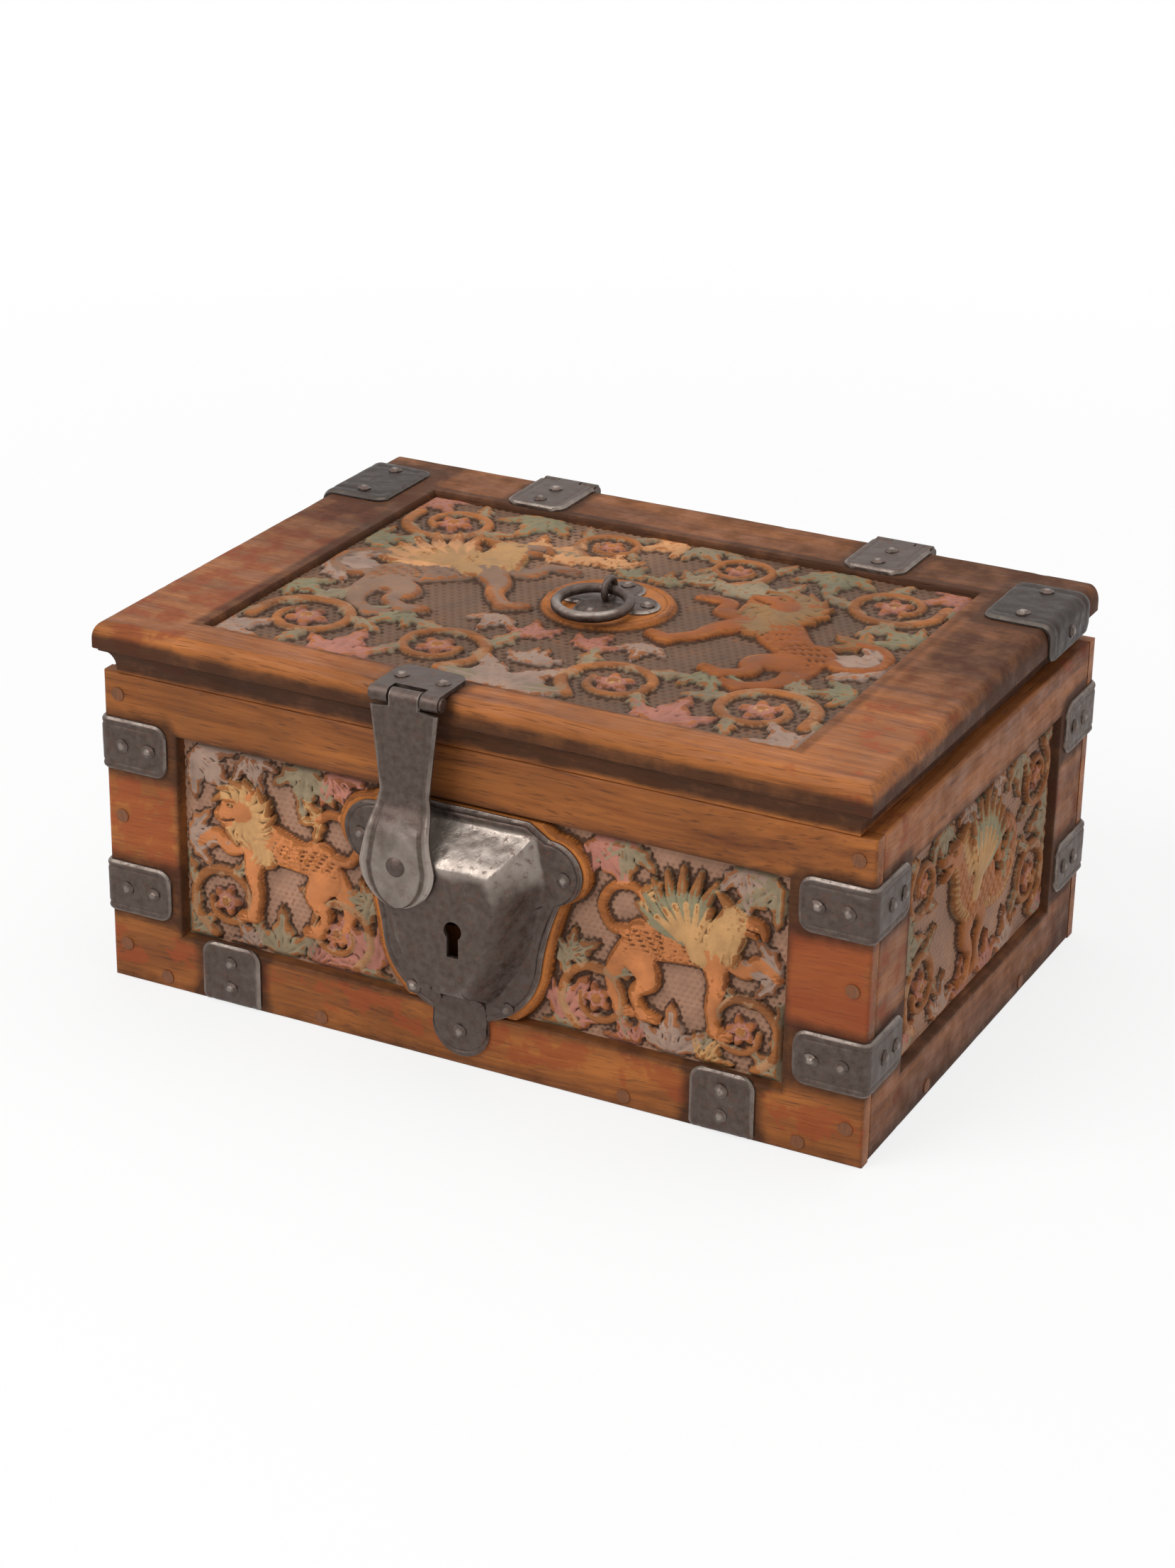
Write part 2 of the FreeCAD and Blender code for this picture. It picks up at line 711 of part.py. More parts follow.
hinge_lid_leaves = {}
hinge_back_leaves = {}
hinge_pins = {}
hinge_lid_nail_list = []
hinge_back_nail_list = []
for name, end in (("left", -1), ("right", 1)):
    x = end * hinge_place
    lid_start = at(x, lid_back - hinge_nail_first, lid_top + strap)
    lid_spots = [(lid_start + FORWARD * (step * hinge_nail_step), DOWN) for step in range(2)]
    back_start = at(x, half_depth + strap, rim_height - hinge_nail_first)
    back_spots = [(back_start + DOWN * (step * hinge_back_nail_step), FORWARD) for step in range(3)]
    hinge_lid_leaves[f"hinge_lid_leaf_{name}"] = hinge_lid_leaf(x, lid_spots)
    hinge_back_leaves[f"hinge_back_leaf_{name}"] = hinge_back_leaf(x, back_spots)
    hinge_pins[f"hinge_pin_{name}"] = hinge_pin(x, hinge_width, hinge_y, hinge_z)
    hinge_lid_nail_list += lid_spots
    hinge_back_nail_list += back_spots


# Pegs of the box
def peg(seat, inward):
    return rod(peg_radius, seat - inward * peg_proud, inward, peg_length)


def peg_hole(seat, inward):
    return rod(peg_radius + peg_fit, seat - inward * overcut, inward, overcut + peg_length)


corner_peg_list = []
base_peg_list = []
peg_heights = (corner_peg_low, (corner_low + corner_high) / 2, rim_height - corner_peg_drop)
for side in (-1, 1):
    inward = BACKWARD * -side
    for end in (-1, 1):
        for z in peg_heights:
            corner_peg_list.append((at(end * (half_length - wall / 2), side * half_depth, z), inward))
        for inset in base_pegs_from_end:
            seat = at(end * (half_length - inset), side * half_depth, base_thickness / 2)
            base_peg_list.append((seat, inward))
        seat = at(end * half_length, side * (half_depth - base_peg_from_side), base_thickness / 2)
        base_peg_list.append((seat, RIGHT * -end))

peg_holes = Part.makeCompound([peg_hole(seat, inward) for seat, inward in corner_peg_list + base_peg_list])
box_nail_list = corner_nail_list + base_nail_list + hinge_back_nail_list + lock_nail_list


def finished_board(board):
    """Board of the box with its peg holes, nail holes and the seats of the base straps."""
    for seat in base_seats:
        board = board.cut(seat)
    return drilled(board.cut(peg_holes), box_nail_list)


lock_table = Part.Wire(shield_edges(-half_depth)).makeOffset2D(lock_table_margin)
lock_table = Part.Face(lock_table).extrude(BACKWARD * field_depth)
field_x = half_length - front_stile
front_field = block(-field_x, field_x, -half_depth, -half_depth + field_depth,
                    bottom_rail, rim_height - top_rail)
front_bed = block(-field_x, field_x, -half_depth, -half_depth + field_depth + relief_root,
                  bottom_rail, rim_height - top_rail)
front_board = carved(long_board(-1).cut(front_field.cut(lock_table)), front_relief(), front_bed)
front_board = finished_board(front_board)
back_board = finished_board(long_board(1))
base_board = finished_board(base_blank)
end_boards = {
    "left_end_board": finished_board(end_board(-1)),
    "right_end_board": finished_board(end_board(1)),
}


# Bolt work
def bolt():
    """Sliding bolt, drawn back, with the lug that the key pushes."""
    low = lock_z - bolt_height / 2
    high = lock_z + bolt_height / 2
    bar = block(bolt_left, bolt_right, bolt_front, bolt_back, low, high)
    lug = block(lug_left, lug_left + lug_width, bolt_front, bolt_back, low - lug_drop, low)
    return bar.fuse(lug).removeSplitter()


def bolt_guide(x):
    """Bridge that holds the bolt to the back plate."""
    half = bolt_height / 2 + guide_gap
    plate_face = -half_depth - back_plate
    front = bolt_front - guide_gap
    outer = block(x, x + guide_width, plate_face, front - guide_bar,
                  lock_z - half - guide_bar, lock_z + half + guide_bar)
    return outer.cut(block(x, x + guide_width, plate_face, front, lock_z - half, lock_z + half))


def bolt_spring():
    """Bowed leaf that presses on the bolt, with its foot on the back plate."""
    low = lock_z + bolt_height / 2 + spring_gap
    middle = (spring_left + spring_right) / 2
    y = -half_depth - spring_front
    high = low + spring_rise
    ends = [at(spring_left, y, high), at(middle, y, low), at(spring_right, y, high)]
    raised = [point + UP * spring_leaf for point in ends]
    edges = [arc(*ends), line(ends[2], raised[2])]
    edges += [arc(raised[2], raised[1], raised[0]), line(raised[0], ends[0])]
    leaf = prism(edges, BACKWARD * (spring_front - spring_back))
    foot = block(spring_right - spring_leaf * 2, spring_right, -half_depth - back_plate, y,
                 high, high + spring_leaf)
    return leaf.fuse(foot).removeSplitter()


lock_back_plate = block(back_plate_left, back_plate_right, -half_depth - back_plate, -half_depth,
                        lock_z - back_plate_drop, lock_z + back_plate_rise)
bolt_guides = Part.makeCompound([bolt_guide(x) for x in guide_places])


# Hasp and its staple
hasp_waist_z = hasp_z - hasp_waist_drop
hasp_kink_z = hasp_z - hasp_kink_drop
hasp_end_z = hasp_z - hasp_end_drop


def hasp_shape():
    """Strap that hangs from the lid, bends out over the dome and ends in a rounded leaf."""
    inner = [(hasp_inner_top, hasp_z), (hasp_inner_top, hasp_waist_z),
             (hasp_inner_low, hasp_kink_z), (hasp_inner_low, hasp_end_z)]
    outer = [(y - strap, z) for y, z in reversed(inner)]
    section = [at(hasp_x - hasp_leaf_width, y, z) for y, z in inner + outer]
    blade = Part.Face(Part.makePolygon(section + section[:1])).extrude(RIGHT * (2 * hasp_leaf_width))
    start = dome_front - dome_rise

    def edge_point(half, z):
        return at(hasp_x + half, start, z)
    top = hasp_width / 2
    waist = hasp_waist_width / 2
    leaf = hasp_leaf_width / 2
    leaf_z = lock_z
    edges = [line(edge_point(-top, hasp_z), edge_point(top, hasp_z))]
    for side in (-1, 1):
        edges.append(line(edge_point(side * top, hasp_z), edge_point(side * waist, hasp_waist_z)))
        edges.append(line(edge_point(side * waist, hasp_waist_z), edge_point(side * leaf, leaf_z)))
    edges.append(arc(edge_point(leaf, leaf_z), edge_point(0, hasp_end_z), edge_point(-leaf, leaf_z)))
    blade = blade.common(prism(Part.__sortEdges__(edges), BACKWARD * (2 * dome_rise)))
    half = hasp_middle / 2
    clear = hasp_z - hasp_barrel - knuckle_gap
    for side in (-1, 1):
        blade = blade.cut(block(hasp_x + side * half, hasp_x + side * hasp_width,
                                hasp_inner_top, hasp_inner_top - strap, clear, hasp_z))
    blade = blade.fuse(barrel(hasp_x - half, hasp_x + half, hasp_y, hasp_z, hasp_barrel)).removeSplitter()
    bore = barrel(hasp_x - hasp_width, hasp_x + hasp_width, hasp_y, hasp_z, pin_radius + pin_run)
    rivet_start = at(hasp_x, hasp_inner_low + overcut, lock_z)
    rivet_hole = rod(rivet_radius + nail_fit, rivet_start, FORWARD, strap + 2 * overcut)
    return blade.cut(bore).cut(rivet_hole)


def hasp_staple():
    """Eyed lug behind the hasp for the bolt, with its rivet through the hasp."""
    half = staple_thickness / 2
    lug = block(hasp_x - half, hasp_x + half, hasp_inner_low, staple_end, staple_low, staple_high)
    eye = block(hasp_x - half, hasp_x + half, bolt_front - staple_gap, bolt_back + staple_gap,
                eye_low, eye_high)
    rivet = rod(rivet_radius, at(hasp_x, hasp_inner_low, lock_z), FORWARD, strap)
    head = dome(at(hasp_x, hasp_inner_low - strap, lock_z), BACKWARD, rivet_head_radius, rivet_head_height)
    return lug.cut(eye).fuse(rivet).fuse(head).removeSplitter()


hasp_nail_row = at(hasp_x, lid_front + hasp_nail_inset, lid_top + strap)
hasp_nail_list = [(hasp_nail_row + RIGHT * (side * hasp_nail_side), DOWN) for side in (-1, 1)]


def hasp_leaf_shape():
    """Leaf nailed on the lid's front edge, with the two outer knuckles of the hasp."""
    root = at(hasp_x, hasp_y, lid_top)
    plate = tongue(root, BACKWARD, RIGHT, UP, lid_front - hasp_y + hasp_lid_reach, hasp_width, strap_corner)
    half = hasp_middle / 2 + knuckle_gap
    clear = hasp_y + hasp_barrel + knuckle_gap
    plate = plate.cut(block(hasp_x - half, hasp_x + half, hasp_y, clear, lid_top, lid_top + strap))
    for side in (-1, 1):
        inner = hasp_x + side * half
        outer = hasp_x + side * hasp_width / 2
        plate = plate.fuse(barrel(min(inner, outer), max(inner, outer), hasp_y, hasp_z, hasp_barrel))
    bore = barrel(hasp_x - hasp_width, hasp_x + hasp_width, hasp_y, hasp_z, pin_radius + pin_fit)
    return drilled(plate.removeSplitter().cut(bore), hasp_nail_list)


# Irons on the back corners of the lid
lid_irons = {}
lid_iron_nail_list = []
for name, end in (("left", -1), ("right", 1)):
    middle = lid_back - lid_iron_inset - lid_iron_width / 2
    outer = at(end * (half_length + strap), middle, lid_top + strap)
    inward = RIGHT * -end
    flat = tongue(outer, inward, BACKWARD, DOWN, lid_iron_reach + strap, lid_iron_width, strap_corner)
    drop = tongue(outer, DOWN, BACKWARD, inward, lid_iron_drop + strap, lid_iron_width, strap_corner)
    top_seat = outer + inward * (strap + lid_iron_reach / 2)
    side_seat = outer + DOWN * (strap + lid_iron_drop / 2)
    spots = [(top_seat + BACKWARD * side * lid_iron_nail_side, DOWN) for side in (-1, 1)]
    spots.append((side_seat, inward))
    angle = bend_rounded(flat.fuse(drop).removeSplitter(), outer, BACKWARD)
    lid_irons[f"lid_corner_iron_{name}"] = drilled(angle, spots)
    lid_iron_nail_list += spots


# Ring handle
def rosette_shape(spots):
    """Plate of four lobes round a core, pierced for the eye's stem."""
    plate = rod(rosette_core, at(0, 0, pad_top), UP, rosette)
    for direction in (LEFT, RIGHT, FORWARD, BACKWARD):
        lobe = at(0, 0, pad_top) + direction * rosette_lobe_place
        plate = plate.fuse(rod(rosette_lobe, lobe, UP, rosette))
    side = eye_wire + nail_fit
    reach = math.sqrt((eye_hole + 2 * eye_wire) ** 2 - eye_rise ** 2) + nail_fit
    eye_slot = block(-side, side, -reach, reach, pad_top, rosette_top)
    plate = plate.removeSplitter().cut(eye_stem_hole).cut(eye_slot)
    return drilled(plate, spots)


def handle_eye():
    """Eye above the rosette whose two legs pass the lid and are clinched under it."""
    loop = Part.makeTorus(eye_hole + eye_wire, eye_wire, at(0, 0, eye_z), RIGHT)
    clinch_z = lid_bottom - eye_wire
    stem_low = clinch_z - eye_wire
    stem = rod(eye_stem, at(0, 0, stem_low), UP, eye_z - eye_hole - eye_wire - stem_low)
    eye = loop.fuse(stem)
    for direction in (FORWARD, BACKWARD):
        eye = eye.fuse(rod(eye_wire, at(0, 0, clinch_z), direction, clinch_length))
    return eye.removeSplitter()


def handle_ring():
    """Ring through the eye, lying towards the front with its far side a little lower."""
    tilt = math.radians(ring_tilt)
    centre = at(0, -ring_radius * math.cos(tilt), eye_z - ring_radius * math.sin(tilt))
    normal = at(0, -math.sin(tilt), math.cos(tilt))
    return Part.makeTorus(ring_radius, ring_bar, centre, normal)


eye_hole_low = lid_bottom - overcut
eye_stem_hole = rod(eye_stem + nail_fit, at(0, 0, eye_hole_low), UP, rosette_top + overcut - eye_hole_low)
rosette_nail_list = [(at(0, 0, rosette_top) + direction * rosette_nail_place, DOWN)
                     for direction in (LEFT, RIGHT, FORWARD, BACKWARD)]


# Lid board
def moulded_edge(place):
    """Moulding from the lid's underside up to its top: quirk, cove, fillet and thumb.

    place turns a depth behind the outer edge and a height above the underside into a point.
    """
    cove_foot = lid_cove_run + lid_fillet_run
    cove_end = lid_quirk + lid_cove_height
    thumb_low = lid_thickness - lid_thumb_height
    middle = math.sqrt(0.5)
    fillet_top = cove_end + lid_fillet_height
    return [
        line(place(cove_foot, 0), place(cove_foot, lid_quirk)),
        arc(place(cove_foot, lid_quirk),
            place(lid_fillet_run + lid_cove_run * middle, lid_quirk + lid_cove_height * middle),
            place(lid_fillet_run, cove_end)),
        line(place(lid_fillet_run, cove_end), place(lid_fillet_run, fillet_top)),
        line(place(lid_fillet_run, fillet_top), place(0, fillet_top)),
        line(place(0, fillet_top), place(0, thumb_low)),
        arc(place(0, thumb_low),
            place(lid_thumb_run * (1 - middle), thumb_low + lid_thumb_height * middle),
            place(lid_thumb_run, lid_thickness)),
    ]


def lid_shape():
    """Board with moulded front and ends, a square back, and a sunk field round a plain pad."""
    cove_foot = lid_cove_run + lid_fillet_run

    def front_place(depth, height):
        return at(-half_length, lid_front + depth, lid_bottom + height)

    def left_place(depth, height):
        return at(-half_length + depth, lid_front, lid_bottom + height)

    def right_place(depth, height):
        return at(half_length - depth, lid_front, lid_bottom + height)
    back_low = at(-half_length, lid_back, lid_bottom)
    back_high = at(-half_length, lid_back, lid_top)
    long_edges = moulded_edge(front_place)
    long_edges += [line(front_place(lid_thumb_run, lid_thickness), back_high), line(back_high, back_low)]
    long_edges.append(line(back_low, front_place(cove_foot, 0)))
    cross_edges = moulded_edge(left_place) + moulded_edge(right_place)
    for depth, height in ((lid_thumb_run, lid_thickness), (cove_foot, 0)):
        cross_edges.append(line(left_place(depth, height), right_place(depth, height)))
    lengthways = prism(Part.__sortEdges__(long_edges), RIGHT * body_length)
    crossways = prism(Part.__sortEdges__(cross_edges), BACKWARD * (lid_back - lid_front))
    board = lengthways.common(crossways)
    field = block(-field_side, field_side, field_front, field_back, lid_top - lid_field_depth, lid_top)
    pad = rod(pad_radius, at(0, 0, lid_top - lid_field_depth), UP, pad_height)
    bed = block(-field_side, field_side, field_front, field_back,
                lid_top - lid_field_depth - relief_root, lid_top)
    board = carved(board.cut(field), lid_relief(), bed)
    lid_nails = hinge_lid_nail_list + lid_iron_nail_list + hasp_nail_list + rosette_nail_list
    return drilled(board.fuse(pad).removeSplitter().cut(eye_stem_hole), lid_nails)


shapes = {
    "base_board": base_board,
    "front_board": front_board,
    "back_board": back_board,
    "corner_pegs": Part.makeCompound([peg(seat, inward) for seat, inward in corner_peg_list]),
    "base_pegs": Part.makeCompound([peg(seat, inward) for seat, inward in base_peg_list]),
    "corner_nails": nails(corner_nail_list),
    "base_strap_nails": nails(base_nail_list),
    "hinge_back_nails": nails(hinge_back_nail_list),
    "hinge_lid_nails": nails(hinge_lid_nail_list),
    "lock_case": lock_case,
    "lock_nails": nails(lock_nail_list),
    "lock_back_plate": lock_back_plate,
    "bolt_guides": bolt_guides,
    "bolt_spring": bolt_spring(),
    "lock_bolt": bolt(),
    "lid_board": lid_shape(),
    "lid_corner_nails": nails(lid_iron_nail_list),
    "hasp_leaf": hasp_leaf_shape(),
    "hasp_leaf_nails": nails(hasp_nail_list),
    "hasp_pin": hinge_pin(hasp_x, hasp_width, hasp_y, hasp_z),
    "hasp": hasp_shape(),
    "hasp_staple": hasp_staple(),
    "handle_rosette": rosette_shape(rosette_nail_list),
    "handle_rosette_nails": nails(rosette_nail_list),
    "handle_eye": handle_eye(),
    "handle_ring": handle_ring(),
}
hinge_nodes = (hinge_lid_leaves, hinge_back_leaves, hinge_pins)
for group in (end_boards, corner_straps, base_straps, lid_irons, *hinge_nodes):
    shapes.update(group)

os.makedirs("parts", exist_ok=True)
for name, shape in shapes.items():
    shape.exportStep(f"parts/{name}.step")
    print(name, len(shape.Solids), "solids", shape.isValid(), round(shape.Volume, 1))
print("joint axes", "lid", hinge_y, hinge_z, "hasp", hasp_y, hasp_z, "handle", eye_z)
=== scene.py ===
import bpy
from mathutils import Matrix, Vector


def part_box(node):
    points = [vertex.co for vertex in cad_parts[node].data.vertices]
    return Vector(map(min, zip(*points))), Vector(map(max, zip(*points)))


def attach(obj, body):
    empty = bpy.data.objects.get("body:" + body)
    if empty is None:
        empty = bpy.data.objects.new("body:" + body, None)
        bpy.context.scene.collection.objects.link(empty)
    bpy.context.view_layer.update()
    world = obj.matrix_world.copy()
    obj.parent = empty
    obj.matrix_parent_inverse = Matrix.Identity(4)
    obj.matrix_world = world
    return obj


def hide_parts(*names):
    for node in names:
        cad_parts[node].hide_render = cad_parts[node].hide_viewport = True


bl_info = {
    "name": "Iron-bound carved casket",
    "version": (1, 0, 0),
    "blender": (4, 5, 0),
    "location": "View3D > Sidebar > Casket",
    "description": "Dresses the casket's frame with carved oak, wrought iron and a studio stage",
    "category": "Object",
}

import copy
import itertools
import math
import bmesh
import bpy
import numpy as np
from bpy.props import FloatProperty, FloatVectorProperty, PointerProperty
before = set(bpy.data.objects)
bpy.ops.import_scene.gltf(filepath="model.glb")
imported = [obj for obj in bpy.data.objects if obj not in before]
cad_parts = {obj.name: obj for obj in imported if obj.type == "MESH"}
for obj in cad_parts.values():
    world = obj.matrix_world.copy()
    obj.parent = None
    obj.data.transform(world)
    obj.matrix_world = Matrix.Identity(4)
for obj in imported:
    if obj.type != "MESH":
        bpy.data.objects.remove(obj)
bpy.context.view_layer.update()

MM = 0.001


def linear(red, green, blue):
    """Linear colour of one picked on a scale of 0 to 255."""
    share = np.array([red, green, blue]) / 255
    return tuple(np.where(share <= 0.04045, share / 12.92, ((share + 0.055) / 1.055) ** 2.4).tolist())


def span(node):
    """Lowest and highest corner of a node of the frame, in millimetres."""
    low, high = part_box(node)
    return np.array(low) / MM, np.array(high) / MM


# Sizes of the frame, in millimetres
FRONT_LOW, FRONT_HIGH = span("front_board")
END_LOW, END_HIGH = span("right_end_board")
_, BASE_HIGH = span("base_board")
LID_LOW, LID_HIGH = span("lid_board")
LOCK_LOW, _ = span("lock_case")
HASP_LOW, HASP_HIGH = span("hasp")
HALF_LENGTH = FRONT_HIGH[0]
HALF_DEPTH = -FRONT_LOW[1]
RIM = FRONT_HIGH[2]
WALL = HALF_LENGTH - END_LOW[0]
CORNER_LIP = HALF_DEPTH - END_HIGH[1]
BASE_LIP = HALF_DEPTH - BASE_HIGH[1]
BASE_TOP = BASE_HIGH[2]
LID_TOP = LID_HIGH[2]
HASP_X = (HASP_LOW[0] + HASP_HIGH[0]) / 2
SIDES = (("front", -1), ("back", 1))
ENDS = (("left", -1), ("right", 1))

# Sunk fields of the carving
FRONT_STILE = 30.0
END_STILE = 32.0
BOTTOM_RAIL = 22.0
TOP_RAIL = 20.0
FIELD_DEPTH = 4.0
LID_FIELD_DEPTH = 3.0
LID_FRONT_MARGIN = 17.0
LID_BACK_MARGIN = 28.0
LID_END_MARGIN = 35.0
FIELD_LOW = BOTTOM_RAIL
FIELD_HIGH = RIM - TOP_RAIL
FRONT_FIELD_X = HALF_LENGTH - FRONT_STILE
END_FIELD_Y = HALF_DEPTH - END_STILE
LID_FIELD_X = HALF_LENGTH - LID_END_MARGIN
LID_FIELD_FRONT = LID_LOW[1] + LID_FRONT_MARGIN
LID_FIELD_BACK = LID_HIGH[1] - LID_BACK_MARGIN
LID_FLOOR = LID_TOP - LID_FIELD_DEPTH
PAD_RADIUS = 24.0
PAD_RISE = 2.4

# Iron
STRAP = 1.6
STRAP_ROUND = 5.0
CORNER_STRAP_HEIGHTS = (37.0, RIM - 27.0)
CORNER_STRAP_TALL = 20.0
CORNER_FRONT_LEG = 26.0
CORNER_END_LEG = 28.0
BASE_STRAP_X = 97.0
BASE_STRAP_WIDE = 24.0
BASE_STRAP_RISE = 24.0
HINGE_X = 70.0
LOCK_X = -3.0
LOCK_Z = RIM - 40.0
LOCK_FLANGE = 1.6
DOME_RISE = -HALF_DEPTH - LOCK_LOW[1]
LOCK_TABLE_MARGIN = 3.0
LOCK_MIDDLE = -20.0

# Sizes and colours that a user would change
COLOUR = {"subtype": "COLOR", "min": 0, "max": 1}


class OakSettings(bpy.types.PropertyGroup):
    """Wood of the box and the lid."""

    light: FloatVectorProperty(
        name="Light grain", description="Wood between the growth rings",
        default=linear(176, 106, 50), **COLOUR)
    dark: FloatVectorProperty(
        name="Dark grain", description="Wood in the growth rings", default=linear(104, 56, 28), **COLOUR)
    red: FloatVectorProperty(
        name="Old red paint", description="Remains of red paint on the stiles and rails",
        default=linear(150, 70, 36), **COLOUR)
    # Also the colour of painted shade: on the ends, the lid's edge, the edges of the sunk fields and the
    # carving's hollows.
    grime_and_shade: FloatVectorProperty(
        name="Grime", description="Dirt and iron stain in the corners", default=linear(52, 31, 19), **COLOUR)
    edge_round: FloatProperty(
        name="Worn edge", description="Radius of the boards' worn edges in millimetres",
        default=1.3, min=0.2, max=3.0)
    wear: FloatProperty(
        name="Dents", description="Depth of the dents of use in millimetres", default=0.22, min=0.0, max=0.6)


class CarvingSettings(bpy.types.PropertyGroup):
    """Carved and painted fields."""

    relief: FloatProperty(
        name="Relief", description="Height of the carved beasts above their ground in millimetres",
        default=3.1, min=1.0, max=3.6)
    step: FloatProperty(
        name="Grid step", description="Distance between neighbouring points in millimetres",
        default=0.42, min=0.3, max=2.0)
    lid_step: FloatProperty(
        name="Grid step of the lid", description="Distance between the lid's points in millimetres",
        default=0.64, min=0.4, max=2.0)
    punch: FloatProperty(
        name="Punch marks", description="Distance between the marks of the ground punch in millimetres",
        default=2.3, min=1.5, max=5.0)
    beast: FloatVectorProperty(
        name="Beast", description="Ochre of the beasts", default=linear(200, 126, 76), **COLOUR)
    mane: FloatVectorProperty(
        name="Mane and wing", description="Yellow of the manes and wings",
        default=linear(202, 154, 102), **COLOUR)
    leaf: FloatVectorProperty(
        name="Leaf", description="Faded green of the leaves", default=linear(154, 136, 108), **COLOUR)
    flower: FloatVectorProperty(
        name="Flower", description="Faded rose of the flowers", default=linear(184, 122, 104), **COLOUR)
    grey: FloatVectorProperty(
        name="Grey leaf", description="Warm grey of some leaves", default=linear(174, 144, 126), **COLOUR)
    feather: FloatVectorProperty(
        name="Feather", description="Grey green of the long feathers",
        default=linear(144, 134, 104), **COLOUR)
    stem: FloatVectorProperty(
        name="Stem", description="Umber of the vine stems", default=linear(176, 130, 92), **COLOUR)
    brown_beast: FloatVectorProperty(
        name="Brown beast", description="Worn red brown of the lid's lion",
        default=linear(158, 88, 42), **COLOUR)
    pale_beast: FloatVectorProperty(
        name="Pale beast", description="Faded brown of the lid's griffin",
        default=linear(144, 111, 90), **COLOUR)
    pale_wing: FloatVectorProperty(
        name="Pale wing", description="Faded rose ochre of the lid's wing",
        default=linear(218, 158, 108), **COLOUR)
    ground: FloatVectorProperty(
        name="Ground", description="Faded rose brown of the punched ground",
        default=linear(184, 140, 114), **COLOUR)
    lid_ground: FloatVectorProperty(
        name="Lid ground", description="Ground of the lid's carving", default=linear(118, 89, 70), **COLOUR)


class IronSettings(bpy.types.PropertyGroup):
    """Wrought iron."""

    skin: FloatVectorProperty(
        name="Forge skin", description="Dark scale of the iron", default=linear(77, 63, 57), **COLOUR)
    # The bright iron is also the colour of the painted highlight on the lock's dome and the hasp's lower end.
    bright: FloatVectorProperty(
        name="Bright iron", description="Iron rubbed bright on its edges",
        default=linear(168, 156, 146), **COLOUR)
    rust: FloatVectorProperty(
        name="Rust", description="Brown rust in the pits", default=linear(92, 54, 34), **COLOUR)
    hammer: FloatProperty(
        name="Hammer marks", description="Depth of the hammer marks in millimetres",
        default=0.16, min=0.0, max=0.5)


class StageSettings(bpy.types.PropertyGroup):
    """Camera, lamps and floor."""

    azimuth: FloatProperty(
        name="Azimuth", description="Camera's turn from the front to the right", subtype="ANGLE",
        default=math.radians(26.81))
    elevation: FloatProperty(
        name="Elevation", description="Camera's height angle", subtype="ANGLE", default=math.radians(23.85))
    roll: FloatProperty(
        name="Roll", description="Camera's tilt about its own axis", subtype="ANGLE",
        default=math.radians(1.0))
    distance: FloatProperty(
        name="Distance", description="Camera's distance from its target", unit="LENGTH", default=1.289)
    lens: FloatProperty(
        name="Lens", description="Focal length on a film 36 mm tall", subtype="DISTANCE_CAMERA",
        default=81.24)
    floor: FloatVectorProperty(
        name="Floor", description="Colour of the floor", default=(0.86, 0.86, 0.86), **COLOUR)


# Noise
CELL_FACTORS = np.array([374761393, 668265263, 1274126177])
SEED_FACTOR = 362437
SHUFFLE_FACTOR = 1103515245
LAST_VALUE = 0xFFFF
LAYERS = (1.0, 0.5, 0.25)


def lattice_value(cell, seed):
    """Repeatable value between 0 and 1 for each whole cell, by mixing its three numbers."""
    mixed = cell @ CELL_FACTORS + seed * SEED_FACTOR
    mixed = (mixed ^ (mixed >> 13)) * SHUFFLE_FACTOR
    return ((mixed ^ (mixed >> 16)) & LAST_VALUE) / LAST_VALUE


def noise(points, size, seed=0):
    """Smooth noise from -1 to 1: lattice values one size apart, blended by a cubic step."""
    cells = np.asarray(points) / size
    base = np.floor(cells).astype(np.int64)
    part = cells - base
    part = part * part * (3 - 2 * part)
    total = np.zeros(base.shape[:-1])
    for corner in itertools.product((0, 1), repeat=3):
        weight = np.prod(np.where(corner, part, 1 - part), axis=-1)
        total += weight * lattice_value(base + np.array(corner), seed)
    return total * 2 - 1


def layered(points, size, seed=0):
    """Layers of noise, each half as large and half as strong as the one before."""
    layers = (share * noise(points, share * size, seed + k) for k, share in enumerate(LAYERS))
    return sum(layers) / sum(LAYERS)


def eased(value, low, high):
    """Smooth step from 0 below low to 1 above high."""
    share = np.clip((value - low) / (high - low), 0, 1)
    return share * share * (3 - 2 * share)


def bell(value, middle, width):
    """Bell curve: 1 at the middle, about a third a width away."""
    return np.exp(-((value - middle) / width) ** 2)


# Skins: points in millimetres and faces of four corners
def sheet_faces(rows, columns, ring=False, tube=False):
    """Faces between neighbouring rows and columns; a ring joins the last row to the first,
    and a tube the last column to the first."""
    row = np.arange(rows if ring else rows - 1)
    column = np.arange(columns if tube else columns - 1)
    i, j = np.meshgrid(row, column, indexing="ij")
    k = (i + 1) % rows
    m = (j + 1) % columns
    corners = [i * columns + j, k * columns + j, k * columns + m, i * columns + m]
    return np.stack(corners, axis=-1).reshape(-1, 4)


def rim_of(rows, columns):
    """Indices round the rim of a sheet, in order."""
    first = np.arange(columns)
    right = np.arange(1, rows) * columns + columns - 1
    last = (rows - 1) * columns + np.arange(columns - 2, -1, -1)
    left = np.arange(rows - 2, 0, -1) * columns
    return np.concatenate([first, right, last, left])


def slab(front, back):
    """Closed skin of two sheets over one grid: the front, the back turned over, and the wall round them."""
    rows, columns = front.shape[:2]
    count = rows * columns
    sheet = sheet_faces(rows, columns)
    rim = rim_of(rows, columns)
    after = np.roll(rim, -1)
    wall = np.stack([rim, after, after + count, rim + count], axis=1)
    points = np.concatenate([front.reshape(-1, 3), back.reshape(-1, 3)])
    return points, np.concatenate([sheet, sheet[:, ::-1] + count, wall])


